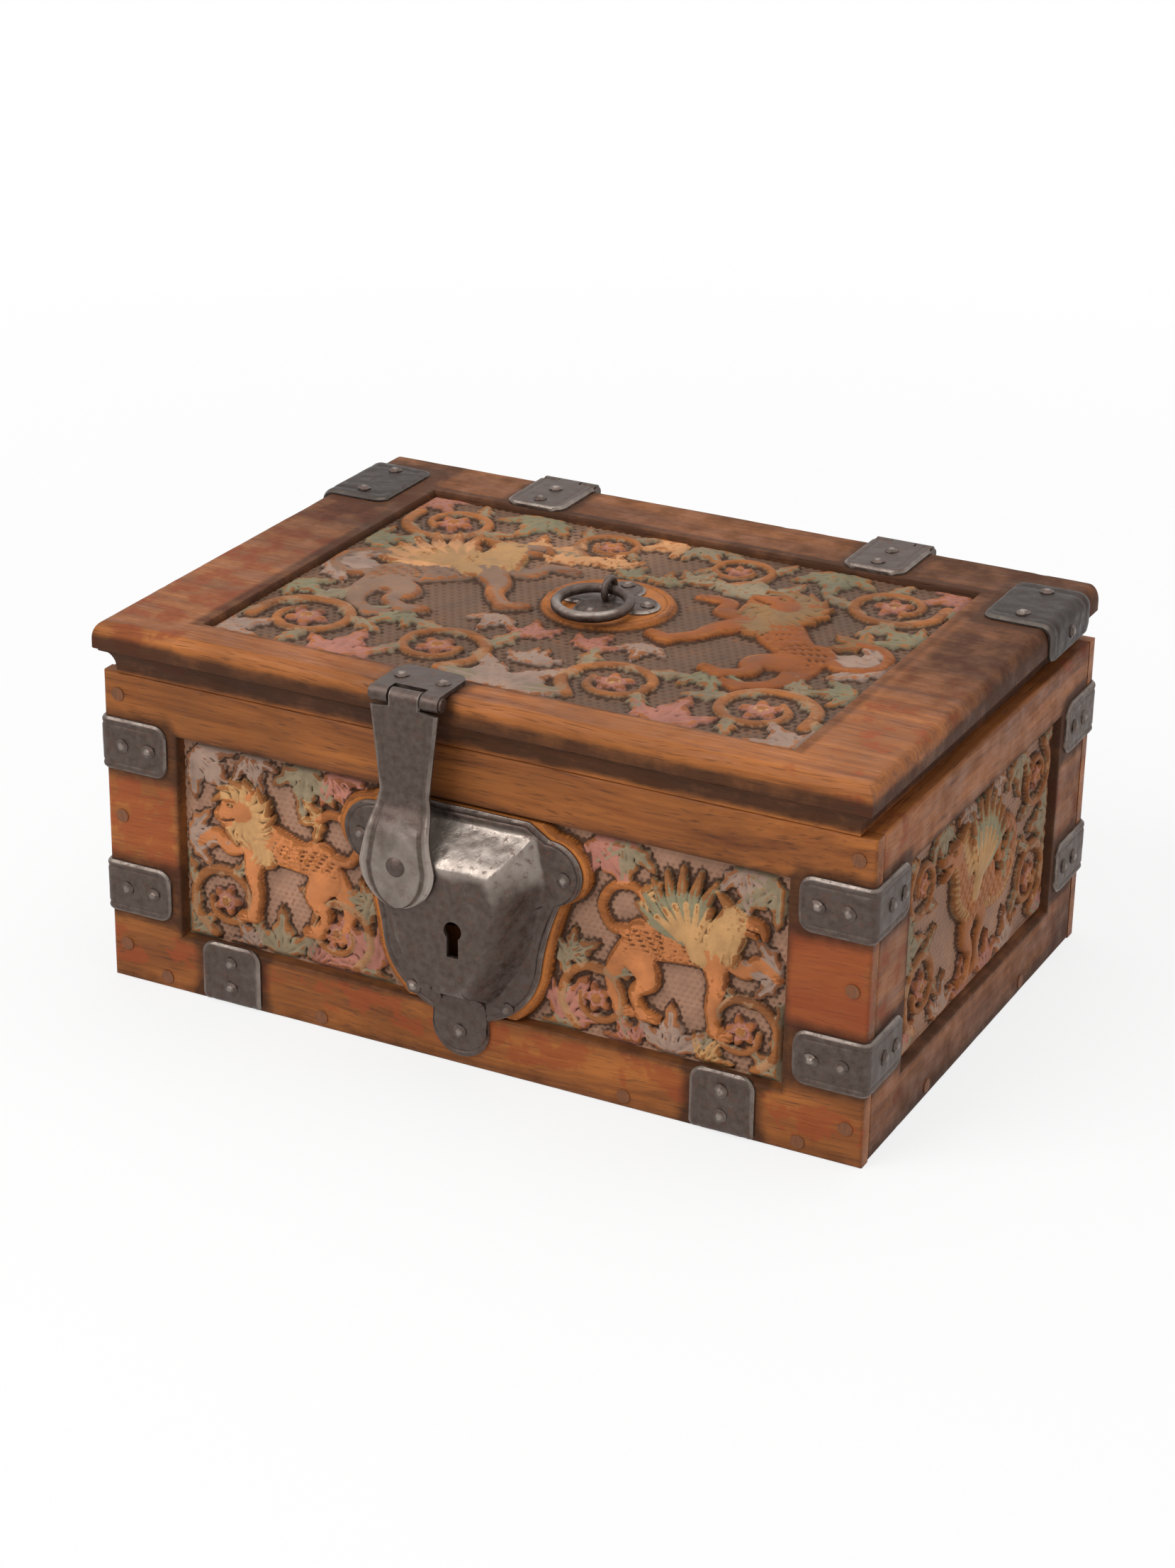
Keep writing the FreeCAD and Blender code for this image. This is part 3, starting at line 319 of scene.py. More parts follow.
def round_slab(front, back, bored=False):
    """Closed skin of two sheets whose rows run round a middle: front, back, outer wall and any bore."""
    rows, columns = front.shape[:2]
    count = rows * columns
    sheet = sheet_faces(rows, columns, ring=True)
    row = np.arange(rows)
    after = (row + 1) % rows
    walls = [(columns - 1, 1), (0, -1)] if bored else [(columns - 1, 1)]
    faces = [sheet, sheet[:, ::-1] + count]
    for column, turn in walls:
        a = row * columns + column
        b = after * columns + column
        faces.append(np.stack([b, a, a + count, b + count], axis=1)[:, ::-turn])
    points = np.concatenate([front.reshape(-1, 3), back.reshape(-1, 3)])
    return points, np.concatenate(faces)


def two_sheets(front, back=0.0):
    """Values for the points of two sheets: the front's own, and one for all of the back."""
    return np.concatenate([front.ravel(), np.full(front.size, back)])


def mesh_of(name, skin, cap=None):
    """Mesh in metres from a skin, with an optional flat cap over a ring of its points."""
    points, faces = skin
    starts = np.arange(0, 4 * len(faces), 4)
    corners = faces.ravel()
    if cap is not None:
        starts = np.append(starts, len(corners))
        corners = np.concatenate([corners, cap])
    mesh = bpy.data.meshes.new(name)
    mesh.vertices.add(len(points))
    mesh.vertices.foreach_set("co", (points * MM).astype(np.float32).ravel())
    mesh.loops.add(len(corners))
    mesh.loops.foreach_set("vertex_index", corners.astype(np.int32))
    mesh.polygons.add(len(starts))
    mesh.polygons.foreach_set("loop_start", starts.astype(np.int32))
    mesh.update(calc_edges=True)
    return mesh


def painted_mesh(name, skin, paints, cap=None, merge=0.002):
    """Mesh with a number or a colour for each point under each paint's name; points that lie together, as at
    poles, are merged and the faces turned outwards."""
    mesh = mesh_of(name, skin, cap)
    for paint, values in paints.items():
        values = np.asarray(values, dtype=np.float32)
        if values.ndim == 1:
            mesh.attributes.new(paint, "FLOAT", "POINT").data.foreach_set("value", values)
        else:
            values = np.column_stack([values, np.ones(len(values), np.float32)])
            mesh.attributes.new(paint, "FLOAT_COLOR", "POINT").data.foreach_set("color", values.ravel())
    work = bmesh.new()
    work.from_mesh(mesh)
    bmesh.ops.remove_doubles(work, verts=work.verts, dist=merge * MM)
    bmesh.ops.recalc_face_normals(work, faces=work.faces)
    work.to_mesh(mesh)
    work.free()
    return mesh


def finished(mesh, body, finish, stands_for=(), crease=38.0):
    """Object of a mesh with its finish, smooth but for its creases, riding on a body of the frame."""
    mesh.polygons.foreach_set("use_smooth", np.ones(len(mesh.polygons), dtype=bool))
    mesh.set_sharp_from_angle(angle=math.radians(crease))
    mesh.materials.append(finish)
    piece = bpy.data.objects.new(mesh.name, mesh)
    bpy.context.scene.collection.objects.link(piece)
    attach(piece, body)
    if stands_for:
        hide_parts(*stands_for)


# Node trees
class Wiring:
    """A node tree with short calls to add, set and join its nodes."""

    def __init__(self, tree):
        self.tree = tree

    def feed(self, node, inputs):
        """Joins each named input to another node's socket, or sets its value."""
        for name, value in inputs.items():
            if isinstance(value, bpy.types.NodeSocket):
                self.tree.links.new(value, node.inputs[name])
            else:
                node.inputs[name].default_value = value

    def add(self, kind, inputs=None, **settings):
        node = self.tree.nodes.new(kind)
        for name, value in settings.items():
            setattr(node, name, value)
        self.feed(node, inputs or {})
        return node

    def math(self, operation, first, second):
        return self.add("ShaderNodeMath", {0: first, 1: second}, operation=operation).outputs[0]

    def plus(self, first, second):
        return self.math("ADD", first, second)

    def minus(self, first, second):
        return self.math("SUBTRACT", first, second)

    def times(self, first, second):
        return self.math("MULTIPLY", first, second)

    def mix(self, share, first, second, blend="MIX"):
        return self.add("ShaderNodeMix", {0: share, 6: first, 7: second},
                        data_type="RGBA", blend_type=blend).outputs[2]

    def remap(self, value, low, high, to_low=0.0, to_high=1.0):
        return self.add("ShaderNodeMapRange", {0: value, 1: low, 2: high, 3: to_low, 4: to_high}).outputs[0]

    def noise(self, vector, scale, detail=2.0, roughness=0.5):
        inputs = {"Vector": vector, "Scale": scale, "Detail": detail, "Roughness": roughness}
        return self.add("ShaderNodeTexNoise", inputs).outputs[0]

    def stretched(self, vector, x, y, z):
        return self.add("ShaderNodeVectorMath", {0: vector, 1: (x, y, z)}, operation="MULTIPLY").outputs[0]

    def attribute(self, name, output="Fac"):
        return self.add("ShaderNodeAttribute", attribute_name=name).outputs[output]

    def grouped(self, group, vector):
        return self.add("ShaderNodeGroup", {"Vector": vector}, node_tree=group).outputs

    def bumped(self, height, strength, distance):
        """Normal from a height, with its depth in metres."""
        inputs = {"Height": height, "Strength": strength, "Distance": distance}
        return self.add("ShaderNodeBump", inputs).outputs[0]

    def camera_sees(self):
        """1 for rays from the camera or from a reflection, 0 for light that falls on things."""
        path = self.add("ShaderNodeLightPath").outputs
        return self.math("MAXIMUM", path["Is Camera Ray"], path["Is Glossy Ray"])


def colour(values):
    return (*values, 1.0)


def made_once(store):
    """Decorator for a material or node group: made when its name is first asked for, and then shared."""
    def wrap(make):
        def asked(name, *options):
            return getattr(bpy.data, store).get(name) or make(name, *options)
        return asked
    return wrap


def group_of(name, *outputs):
    """Empty node group from a vector to named values, with the wiring to fill it."""
    tree = bpy.data.node_groups.new(name, "ShaderNodeTree")
    tree.interface.new_socket("Vector", in_out="INPUT", socket_type="NodeSocketVector")
    for socket in outputs:
        tree.interface.new_socket(socket, in_out="OUTPUT", socket_type="NodeSocketFloat")
    wiring = Wiring(tree)
    return tree, wiring, wiring.add("NodeGroupInput").outputs["Vector"], wiring.add("NodeGroupOutput")


@made_once("node_groups")
def grain_group(name):
    """Oak with its grain along x: soft growth bands, fine lines and short dark pores."""
    tree, wiring, vector, result = group_of(name, "Figure", "Pores", "Relief")
    bend = wiring.noise(wiring.stretched(vector, 5, 16, 16), 1.0, 2)
    bent = wiring.add("ShaderNodeVectorMath", {0: vector, 1: bend}, operation="ADD").outputs[0]
    swirl = wiring.add("ShaderNodeMix", {0: 0.025, 4: vector, 5: bent}, data_type="VECTOR").outputs[1]
    bands = wiring.noise(wiring.stretched(swirl, 7, 110, 110), 1.0, 3, 0.55)
    lines = wiring.noise(wiring.stretched(swirl, 16, 620, 620), 1.0, 2, 0.6)
    streaks = wiring.noise(wiring.stretched(swirl, 90, 1700, 1700), 1.0, 1)
    pores = wiring.remap(streaks, 0.60, 0.72)
    figure = wiring.plus(wiring.times(bands, 0.62), wiring.times(lines, 0.38))
    wiring.feed(result, {"Figure": wiring.remap(figure, 0.30, 0.70), "Pores": pores,
                         "Relief": wiring.minus(lines, wiring.times(pores, 0.8))})
    return tree


@made_once("node_groups")
def mottle_group(name):
    """Patches of handling and dirt at three sizes, for wood, paint and iron alike."""
    tree, wiring, vector, result = group_of(name, "Broad", "Patches", "Specks")
    wiring.feed(result, {"Broad": wiring.noise(vector, 22.0, 2),
                         "Patches": wiring.noise(vector, 95.0, 3, 0.6),
                         "Specks": wiring.noise(vector, 620.0, 2, 0.6)})
    return tree


@made_once("node_groups")
def forge_group(name):
    """Iron worked under the hammer: broad facets, fine scale and pits."""
    tree, wiring, vector, result = group_of(name, "Facets", "Scale", "Pits")
    cells = wiring.add("ShaderNodeTexVoronoi", {"Vector": vector, "Scale": 190.0, "Smoothness": 0.8},
                       feature="SMOOTH_F1").outputs["Distance"]
    pits = wiring.remap(wiring.noise(vector, 420.0, 3, 0.7), 0.54, 0.70)
    wiring.feed(result, {"Facets": cells, "Scale": wiring.noise(vector, 430.0, 3, 0.55), "Pits": pits})
    return tree


def new_finish(name):
    """Empty material with its wiring, its Principled shader and its Object coordinates."""
    material = bpy.data.materials.new(name)
    material.use_nodes = True
    material.node_tree.nodes.clear()
    wiring = Wiring(material.node_tree)
    shader = wiring.add("ShaderNodeBsdfPrincipled")
    wiring.add("ShaderNodeOutputMaterial", {"Surface": shader.outputs[0]})
    place = wiring.add("ShaderNodeTexCoord").outputs["Object"]
    return material, wiring, shader, place


def new_oak(name, turn):
    """New finish with the grain turned about the upright axis, and the wood's tone: darker in its pores and
    varied in patches."""
    settings = bpy.context.scene.casket_oak
    material, wiring, shader, place = new_finish(name)
    mottle = wiring.grouped(mottle_group("mottle"), place)
    turned = wiring.add("ShaderNodeMapping", {"Vector": place, "Rotation": (0, 0, turn)}).outputs[0]
    grain = wiring.grouped(grain_group("oak_grain"), turned)
    tone = wiring.mix(grain["Figure"], colour(settings.dark), colour(settings.light))
    tone = wiring.mix(wiring.times(grain["Pores"], 0.45), tone, colour(settings.grime_and_shade))
    tone = wiring.mix(1.0, tone, wiring.remap(mottle["Broad"], 0.30, 0.70, 0.74, 1.16), "MULTIPLY")
    return material, wiring, shader, grain, mottle, tone


@made_once("materials")
def oak_finish(name, turn=0.0):
    """Waxed old oak with remains of red paint, dark stains about the iron and painted shade.

    The attribute red says where paint is left; the other says where dirt gathers and shade is painted.
    """
    settings = bpy.context.scene.casket_oak
    material, wiring, shader, grain, mottle, tone = new_oak(name, turn)
    ragged = wiring.remap(mottle["Patches"], 0.34, 0.66, -0.45, 0.45)
    paint = wiring.plus(wiring.attribute("red"), ragged)
    paint = wiring.times(wiring.remap(paint, 0.42, 0.62), 0.78)
    red = wiring.mix(wiring.times(grain["Figure"], 0.35), colour(settings.red), tone)
    # Dirt, iron stain and painted shade darken the wood here.
    dirt_and_shade = wiring.plus(wiring.attribute("grime_and_shade"), wiring.times(ragged, 0.35))
    dirt_and_shade = wiring.times(wiring.remap(dirt_and_shade, 0.12, 0.95), 0.86)
    rough = wiring.remap(mottle["Patches"], 0.3, 0.7, 0.40, 0.60)
    wiring.feed(shader, {
        "Base Color": wiring.mix(dirt_and_shade, wiring.mix(paint, tone, red), colour(settings.grime_and_shade)),
        "Roughness": wiring.plus(rough, wiring.times(dirt_and_shade, 0.2)),
        "Normal": wiring.bumped(grain["Relief"], 0.55, 0.00035), "Specular IOR Level": 0.20})
    return material


@made_once("materials")
def carved_finish(name, turn=0.0):
    """Old paint on carved oak, worn down to the wood on the tops, with dirt and painted shade in the hollows.

    The attribute paint gives the colour with painted highlight and shade, worn the rubbed tops, and the third
    the deep places.
    """
    settings = bpy.context.scene.casket_oak
    material, wiring, shader, grain, mottle, wood = new_oak(name, turn)
    shade = wiring.times(wiring.remap(mottle["Patches"], 0.28, 0.72, 0.72, 1.18),
                         wiring.remap(mottle["Broad"], 0.32, 0.68, 0.80, 1.12))
    paint = wiring.mix(1.0, wiring.attribute("paint", "Color"), shade, "MULTIPLY")
    ragged = wiring.remap(mottle["Specks"], 0.3, 0.7, -0.30, 0.30)
    broad = wiring.remap(mottle["Patches"], 0.35, 0.65, -0.25, 0.25)
    bare = wiring.plus(wiring.attribute("worn"), wiring.plus(ragged, broad))
    bare = wiring.times(wiring.remap(bare, 0.30, 0.62), 0.85)
    # Dirt and painted shade darken the hollows here.
    dirt_and_shade = wiring.plus(wiring.attribute("dirt_and_shade_in_hollows"), wiring.times(broad, 0.4))
    dirt_and_shade = wiring.times(wiring.remap(dirt_and_shade, 0.15, 0.90), 0.82)
    height = wiring.plus(grain["Relief"], wiring.times(mottle["Specks"], 1.2))
    wiring.feed(shader, {
        "Base Color": wiring.mix(dirt_and_shade, wiring.mix(bare, paint, wood), colour(settings.grime_and_shade)),
        "Roughness": wiring.remap(mottle["Patches"], 0.3, 0.7, 0.46, 0.68),
        "Normal": wiring.bumped(height, 0.4, 0.00022), "Specular IOR Level": 0.16})
    return material


@made_once("materials")
def iron_finish(name, tarnish=0.0):
    """Dark forge scale, bright where an attribute says, for wear and for a painted highlight, with rust in
    its pits.
    """
    settings = bpy.context.scene.casket_iron
    bright = colour(settings.bright)
    material, wiring, shader, place = new_finish(name)
    mottle = wiring.grouped(mottle_group("mottle"), place)
    forge = wiring.grouped(forge_group("forge_marks"), place)
    tone = wiring.mix(wiring.remap(forge["Scale"], 0.3, 0.7, 0.0, 0.14), colour(settings.skin), bright)
    # Wear on the edges and a painted highlight on the lock and the hasp make the iron bright here.
    rubbed_and_highlight = wiring.plus(wiring.attribute("rubbed_and_highlight"), wiring.remap(mottle["Patches"], 0.3, 0.7, -0.2, 0.2))
    rubbed_and_highlight = wiring.times(wiring.remap(rubbed_and_highlight, 0.15, 0.95), 0.8)
    rust = wiring.times(forge["Pits"], wiring.remap(mottle["Broad"], 0.35, 0.65, 0.15, 0.75))
    tone = wiring.mix(rust, wiring.mix(rubbed_and_highlight, tone, bright), colour(settings.rust))
    rough = wiring.remap(forge["Scale"], 0.3, 0.7, 0.40, 0.58)
    rough = wiring.minus(rough, wiring.times(rubbed_and_highlight, 0.12))
    height = wiring.plus(wiring.times(forge["Facets"], 2.6), wiring.times(forge["Scale"], 0.5))
    height = wiring.minus(height, wiring.times(forge["Pits"], 0.25))
    wiring.feed(shader, {
        "Base Color": wiring.mix(tarnish, tone, (0, 0, 0, 1)),
        "Metallic": wiring.remap(rust, 0.0, 0.7, 0.82, 0.15),
        "Roughness": wiring.plus(rough, wiring.times(rust, 0.3)),
        "Normal": wiring.bumped(height, 0.45, 0.0005)})
    return material


@made_once("materials")
def peg_finish(name):
    """End grain of a riven peg, darker than the board about it."""
    settings = bpy.context.scene.casket_oak
    material, wiring, shader, place = new_finish(name)
    mottle = wiring.grouped(mottle_group("mottle"), place)
    rays = wiring.noise(wiring.stretched(place, 900, 900, 300), 1.0, 2)
    tone = wiring.mix(wiring.remap(rays, 0.3, 0.7), colour(settings.grime_and_shade), colour(settings.dark))
    wiring.feed(shader, {
        "Base Color": wiring.mix(0.25, tone, colour(settings.light)),
        "Roughness": wiring.remap(mottle["Patches"], 0.3, 0.7, 0.5, 0.75),
        "Normal": wiring.bumped(rays, 0.5, 0.0003)})
    return material


# Boards of the box
EDGE_STATIONS = np.array([-1.6, -1.0, -0.6, -0.3, -0.1, 0.1, 0.3, 0.6, 1.0, 1.6])
STEP_STATIONS = np.array([-0.03, 0.03])
BOARD_STEP = 1.7
STAIN_REACH = 6.0
NO_FIELD = -99.0
BACK_GRIME = 0.12
UPRIGHT = math.radians(90)


def stations(low, high, edges=(), steps=()):
    """Places along a side: even steps, closer ones about each worn edge, and a pair at each square step."""
    places = [np.linspace(low, high, int(round((high - low) / BOARD_STEP)) + 1)]
    places += [edge + EDGE_STATIONS for edge in (low, high, *edges)]
    places += [edge + STEP_STATIONS for edge in steps]
    return np.unique(np.clip(np.concatenate(places), low, high).round(3))


def worn_round(distance, radius):
    """Drop of a quarter round within its radius of an edge."""
    inside = np.clip(radius - distance, 0, radius)
    return radius - np.sqrt(radius ** 2 - inside ** 2)


def near_iron(u, v, irons):
    """Nearness of each place to the nearest of some iron rectangles: 1 at the edge, 0 a stain's reach off."""
    nearest = np.full(u.shape, np.inf)
    for u0, u1, v0, v1 in irons:
        gap_u = np.maximum(np.maximum(u0 - u, u - u1), 0)
        gap_v = np.maximum(np.maximum(v0 - v, v - v1), 0)
        nearest = np.minimum(nearest, np.hypot(gap_u, gap_v))
    return 1 - eased(nearest, 0, STAIN_REACH)


class Board:
    """One upright board: places along it, upright places, and how deep its front face lies."""

    def __init__(self, settings, half, field=None, inner_steps=()):
        edges_u = (-field, field) if field else ()
        edges_v = (FIELD_LOW, FIELD_HIGH) if field else ()
        self.u, self.v = np.meshgrid(stations(-half, half, edges_u, inner_steps),
                                     stations(0, RIM, edges_v, (BASE_TOP,)), indexing="ij")
        edge = np.minimum(half - np.abs(self.u), np.minimum(self.v, RIM - self.v))
        self.front = worn_round(edge, settings.edge_round)
        self.inside_field = np.full(self.u.shape, NO_FIELD)
        if field:
            self.inside_field = np.minimum(field - np.abs(self.u),
                                           np.minimum(self.v - FIELD_LOW, FIELD_HIGH - self.v))
            self.front += FIELD_DEPTH * eased(self.inside_field, -0.5, 1.2)
        spots = np.stack([self.u, self.v, np.full_like(self.u, half)], axis=-1)
        dents = np.clip(layered(spots, 17, 3), 0, 1) + 1.6 * np.clip(noise(spots, 5, 9) - 0.62, 0, 1)
        self.front += settings.wear * dents * eased(-self.inside_field, 0.5, 2.5)
        self.back = np.where(self.v < BASE_TOP, BASE_LIP, WALL)

    def grime_and_shade(self, irons):
        """Dirt and painted shade along the field's edge, darker towards the foot of the board, and iron stain
        about its iron.
        """
        field_edge_dirt_and_shade = bell(np.abs(self.inside_field), 0, 1.8)
        foot = 1 - eased(self.v, 0, 9)
        return 0.75 * field_edge_dirt_and_shade + 0.55 * foot + 0.9 * near_iron(self.u, self.v, irons)

    def piece(self, name, place, red, grime_and_shade, finish):
        """The board from its two faces, which place sets in the frame."""
        skin = slab(place(self.u, self.front, self.v), place(self.u, self.back, self.v))
        paints = {"red": two_sheets(red), "grime_and_shade": two_sheets(np.clip(grime_and_shade, 0, 1), BACK_GRIME)}
        finished(painted_mesh(name + "_oak", skin, paints), "case", finish, (name,))


def strap_boxes(half, leg):
    """Rectangles that the corner straps cover on a face of the given half width."""
    reach = CORNER_STRAP_TALL / 2
    return [(*ends, z - reach, z + reach) for z in CORNER_STRAP_HEIGHTS
            for ends in ((half - leg, half), (-half, leg - half))]


class CASKET_OT_boards(bpy.types.Operator):
    """Oak boards of the box, with worn edges, dents and the sunk fields"""

    bl_idname = "casket.boards"
    bl_label = "Boards"

    def execute(self, context):
        settings = context.scene.casket_oak
        inner_x = HALF_LENGTH - WALL
        reach = BASE_STRAP_WIDE / 2
        irons = strap_boxes(HALF_LENGTH, CORNER_FRONT_LEG)
        irons += [(end * BASE_STRAP_X - reach, end * BASE_STRAP_X + reach, 0, BASE_STRAP_RISE)
                  for _, end in ENDS]
        for name, side in SIDES:
            board = Board(settings, HALF_LENGTH, FRONT_FIELD_X if side < 0 else None, (-inner_x, inner_x))
            board.back = np.where(np.abs(board.u) > inner_x, CORNER_LIP, board.back)

            def place(u, depth, v, side=side):
                return np.stack([u, side * (HALF_DEPTH - depth), v], axis=-1)
            stile = eased(np.abs(board.u), FRONT_FIELD_X - 2, FRONT_FIELD_X + 2)
            between = eased(board.v, 40, 50) * (1 - eased(board.v, 80, 90))
            bottom = (1 - eased(board.v, FIELD_LOW - 3, FIELD_LOW + 1)) * eased(board.v, 4, 9)
            red = (0.75 + 0.2 * np.sign(board.u)) * stile * between + 0.48 * bottom
            if side > 0:
                red = np.full_like(board.u, 0.25)
            board.piece(f"{name}_board", place, red, board.grime_and_shade(irons), oak_finish("oak_long"))
        irons = strap_boxes(HALF_DEPTH, CORNER_END_LEG)
        for name, end in ENDS:
            board = Board(settings, HALF_DEPTH - CORNER_LIP, END_FIELD_Y)

            def place(u, depth, v, end=end):
                return np.stack([end * (HALF_LENGTH - depth), u, v], axis=-1)
            red = 0.35 * eased(np.abs(board.u), END_FIELD_Y - 2, END_FIELD_Y + 2)
            # Painted shade: the whole end darker as it faces away from the lamps, its lower rail darker
            # still, and its back stile darker towards the back.
            grime_and_shade = board.grime_and_shade(irons) + 0.18 + 0.34 * (1 - eased(board.v, FIELD_LOW - 8, FIELD_LOW))
            grime_and_shade += 0.32 * eased(board.u, END_FIELD_Y - 2, END_FIELD_Y + 18)
            board.piece(f"{name}_end_board", place, red, grime_and_shade, oak_finish("oak_upright", UPRIGHT))
        return {"FINISHED"}


# Carving
FUR_ROW = 1.9
FUR_STROKE = 4.6
FUR_DEPTH = 0.38
SCALE_LONG = 4.4
SCALE_ROW = 3.0
SCALE_DEPTH = 0.42
PLATE_PITCH = 2.6
GROUND_LEVEL = 0.35
FIELD_INSET = 0.9
FIELD_SINK = 0.6
ROW_PITCH = 0.866
PUNCH_REACH = 0.42
PUNCH_DEPTH = 0.13
BARE_GROUND = 0.06
TOOL_MARKS = 0.10
CLOSE_BLUR = 22
WIDE_BLUR = 150
CARVED_CREASE = 60.0
OUTSIDE = 9.0
TABLE_SLOPE = 0.7
PAD_SLOPE = 0.9
PAD_LINE = (0.5, -3.2, 0.5)
LID_PAINT = 0.83
LID_PUNCH = 1.4
LID_RUB = ((-36, 46), 27.0, 1.1)


def smooth_path(points, steps=7):
    """Round path through given points: between two points, the cubic whose slopes are half the
    distance between the neighbours."""
    padded = np.concatenate([2 * points[:1] - points[1:2], points, 2 * points[-1:] - points[-2:-1]])
    before, start, end, after = padded[:-3, None], padded[1:-2, None], padded[2:-1, None], padded[3:, None]
    t = np.linspace(0, 1, steps, endpoint=False)[None, :, None]
    cubic = 0.5 * (2 * start + (end - before) * t + (2 * before - 5 * start + 4 * end - after) * t ** 2
                   + (3 * start - before - 3 * end + after) * t ** 3)
    return np.concatenate([cubic.reshape(-1, points.shape[1]), points[-1:]])


def ray(middle, reach, angle):
    """Place at a reach from a middle in a direction."""
    return middle[0] + reach * math.cos(angle), middle[1] + reach * math.sin(angle)


class Relief:
    """A carved field in the making: an even grid of places, height above the ground, and paint."""

    def __init__(self, low, high, step, ground):
        sides = [np.linspace(a, b, int(round((b - a) / step)) + 1) for a, b in zip(low, high)]
        self.u, self.v = np.meshgrid(*sides, indexing="ij")
        self.height = np.zeros(self.u.shape)
        self.paint = np.empty(self.u.shape + (3,))
        self.paint[:] = ground

    def lay(self, height, paint):
        """Lays a form over the others: where it is the higher, it shows in its own paint."""
        over = height > self.height
        self.paint[over] = paint
        self.height = np.where(over, height, self.height)

    def strike_ground(self, seed, spacing):
        """Rounds the forms off along the field's edge, strikes a round punch over the bare ground, in the
        middle of each cell of a staggered grid, and gives the whole the tool's slight unevenness."""
        edge = np.minimum(np.minimum(self.u - self.u.min(), self.u.max() - self.u),
                          np.minimum(self.v - self.v.min(), self.v.max() - self.v))
        self.height *= eased(edge, 0.1, 2.4)
        row = np.round(self.v / (ROW_PITCH * spacing))
        mark = (np.round(self.u / spacing - 0.5 * (row % 2)) + 0.5 * (row % 2)) * spacing
        gap = np.hypot(self.u - mark, self.v - row * ROW_PITCH * spacing)
        dents = -PUNCH_DEPTH * spacing * np.clip(1 - (gap / (PUNCH_REACH * spacing)) ** 2, 0, 1)
        spots = np.stack([self.u, self.v, np.full_like(self.u, 7.0 * seed)], axis=-1)
        self.height = np.where(self.height < BARE_GROUND, dents, self.height)
        self.height += TOOL_MARKS * layered(spots, 6.0, seed)

    def leave_plain(self, gap, level, slope):
        """Leaves plain wood at a level inside an outline, down a short slope to the carving outside it."""
        plain = level * (1 - eased(gap, -slope, slope))
        inside = (gap < -slope) | ((gap < slope) & (plain > self.height))
        self.paint[inside] = bpy.context.scene.casket_oak.light
        self.height = np.where(inside, plain, self.height)

    def piece(self, name, place, body, finish):
        """Block whose top is the carved sheet, with straight sides down to a flat back."""
        rows, columns = self.u.shape
        count = rows * columns
        rim = rim_of(rows, columns)
        lower = count + np.arange(len(rim))
        top = place(self.u, self.v, self.height + GROUND_LEVEL).reshape(-1, 3)
        foot = place(self.u, self.v, np.full_like(self.u, -FIELD_SINK)).reshape(-1, 3)[rim]
        wall = np.stack([rim, np.roll(rim, -1), np.roll(lower, -1), lower], axis=1)
        skin = np.concatenate([top, foot]), np.concatenate([sheet_faces(rows, columns), wall])
        # Painted highlight and shade: the paint lighter on the high tops and darker on the low ground.
        paint = self.paint * (0.78 + 0.30 * np.clip(self.height / self.height.max(), 0, 1))[..., None]
        paint = paint.reshape(-1, 3)
        blurred = softened(self.height, CLOSE_BLUR)
        rubbed_and_highlight = eased(self.height - blurred, 0.02, 0.42) * eased(self.height, 0.4, 1.6)
        # Dirt and painted shade: darker in the hollows by the forms, over the low ground, and all over the
        # block's sides.
        dirt_and_shade_in_hollows = np.maximum(eased(blurred - self.height, 0.02, 0.46),
                            0.5 * eased(softened(blurred, WIDE_BLUR) - self.height, 0.1, 1.5))
        edge = np.zeros(len(rim))
        paints = {"paint": np.concatenate([paint, paint[rim]]),
                  "worn": np.concatenate([rubbed_and_highlight.ravel(), edge]),
                  "dirt_and_shade_in_hollows": np.concatenate([dirt_and_shade_in_hollows.ravel(), edge + 1])}
        finished(painted_mesh(name, skin, paints, lower, 0.0005), body, finish, crease=CARVED_CREASE)


def softened(height, times):
    """Height averaged again and again with its four neighbours."""
    for _ in range(times):
        edged = np.pad(height, 1, mode="edge")
        around = edged[:-2, 1:-1] + edged[2:, 1:-1] + edged[1:-1, :-2] + edged[1:-1, 2:]
        height = 0.5 * height + 0.125 * around
    return height


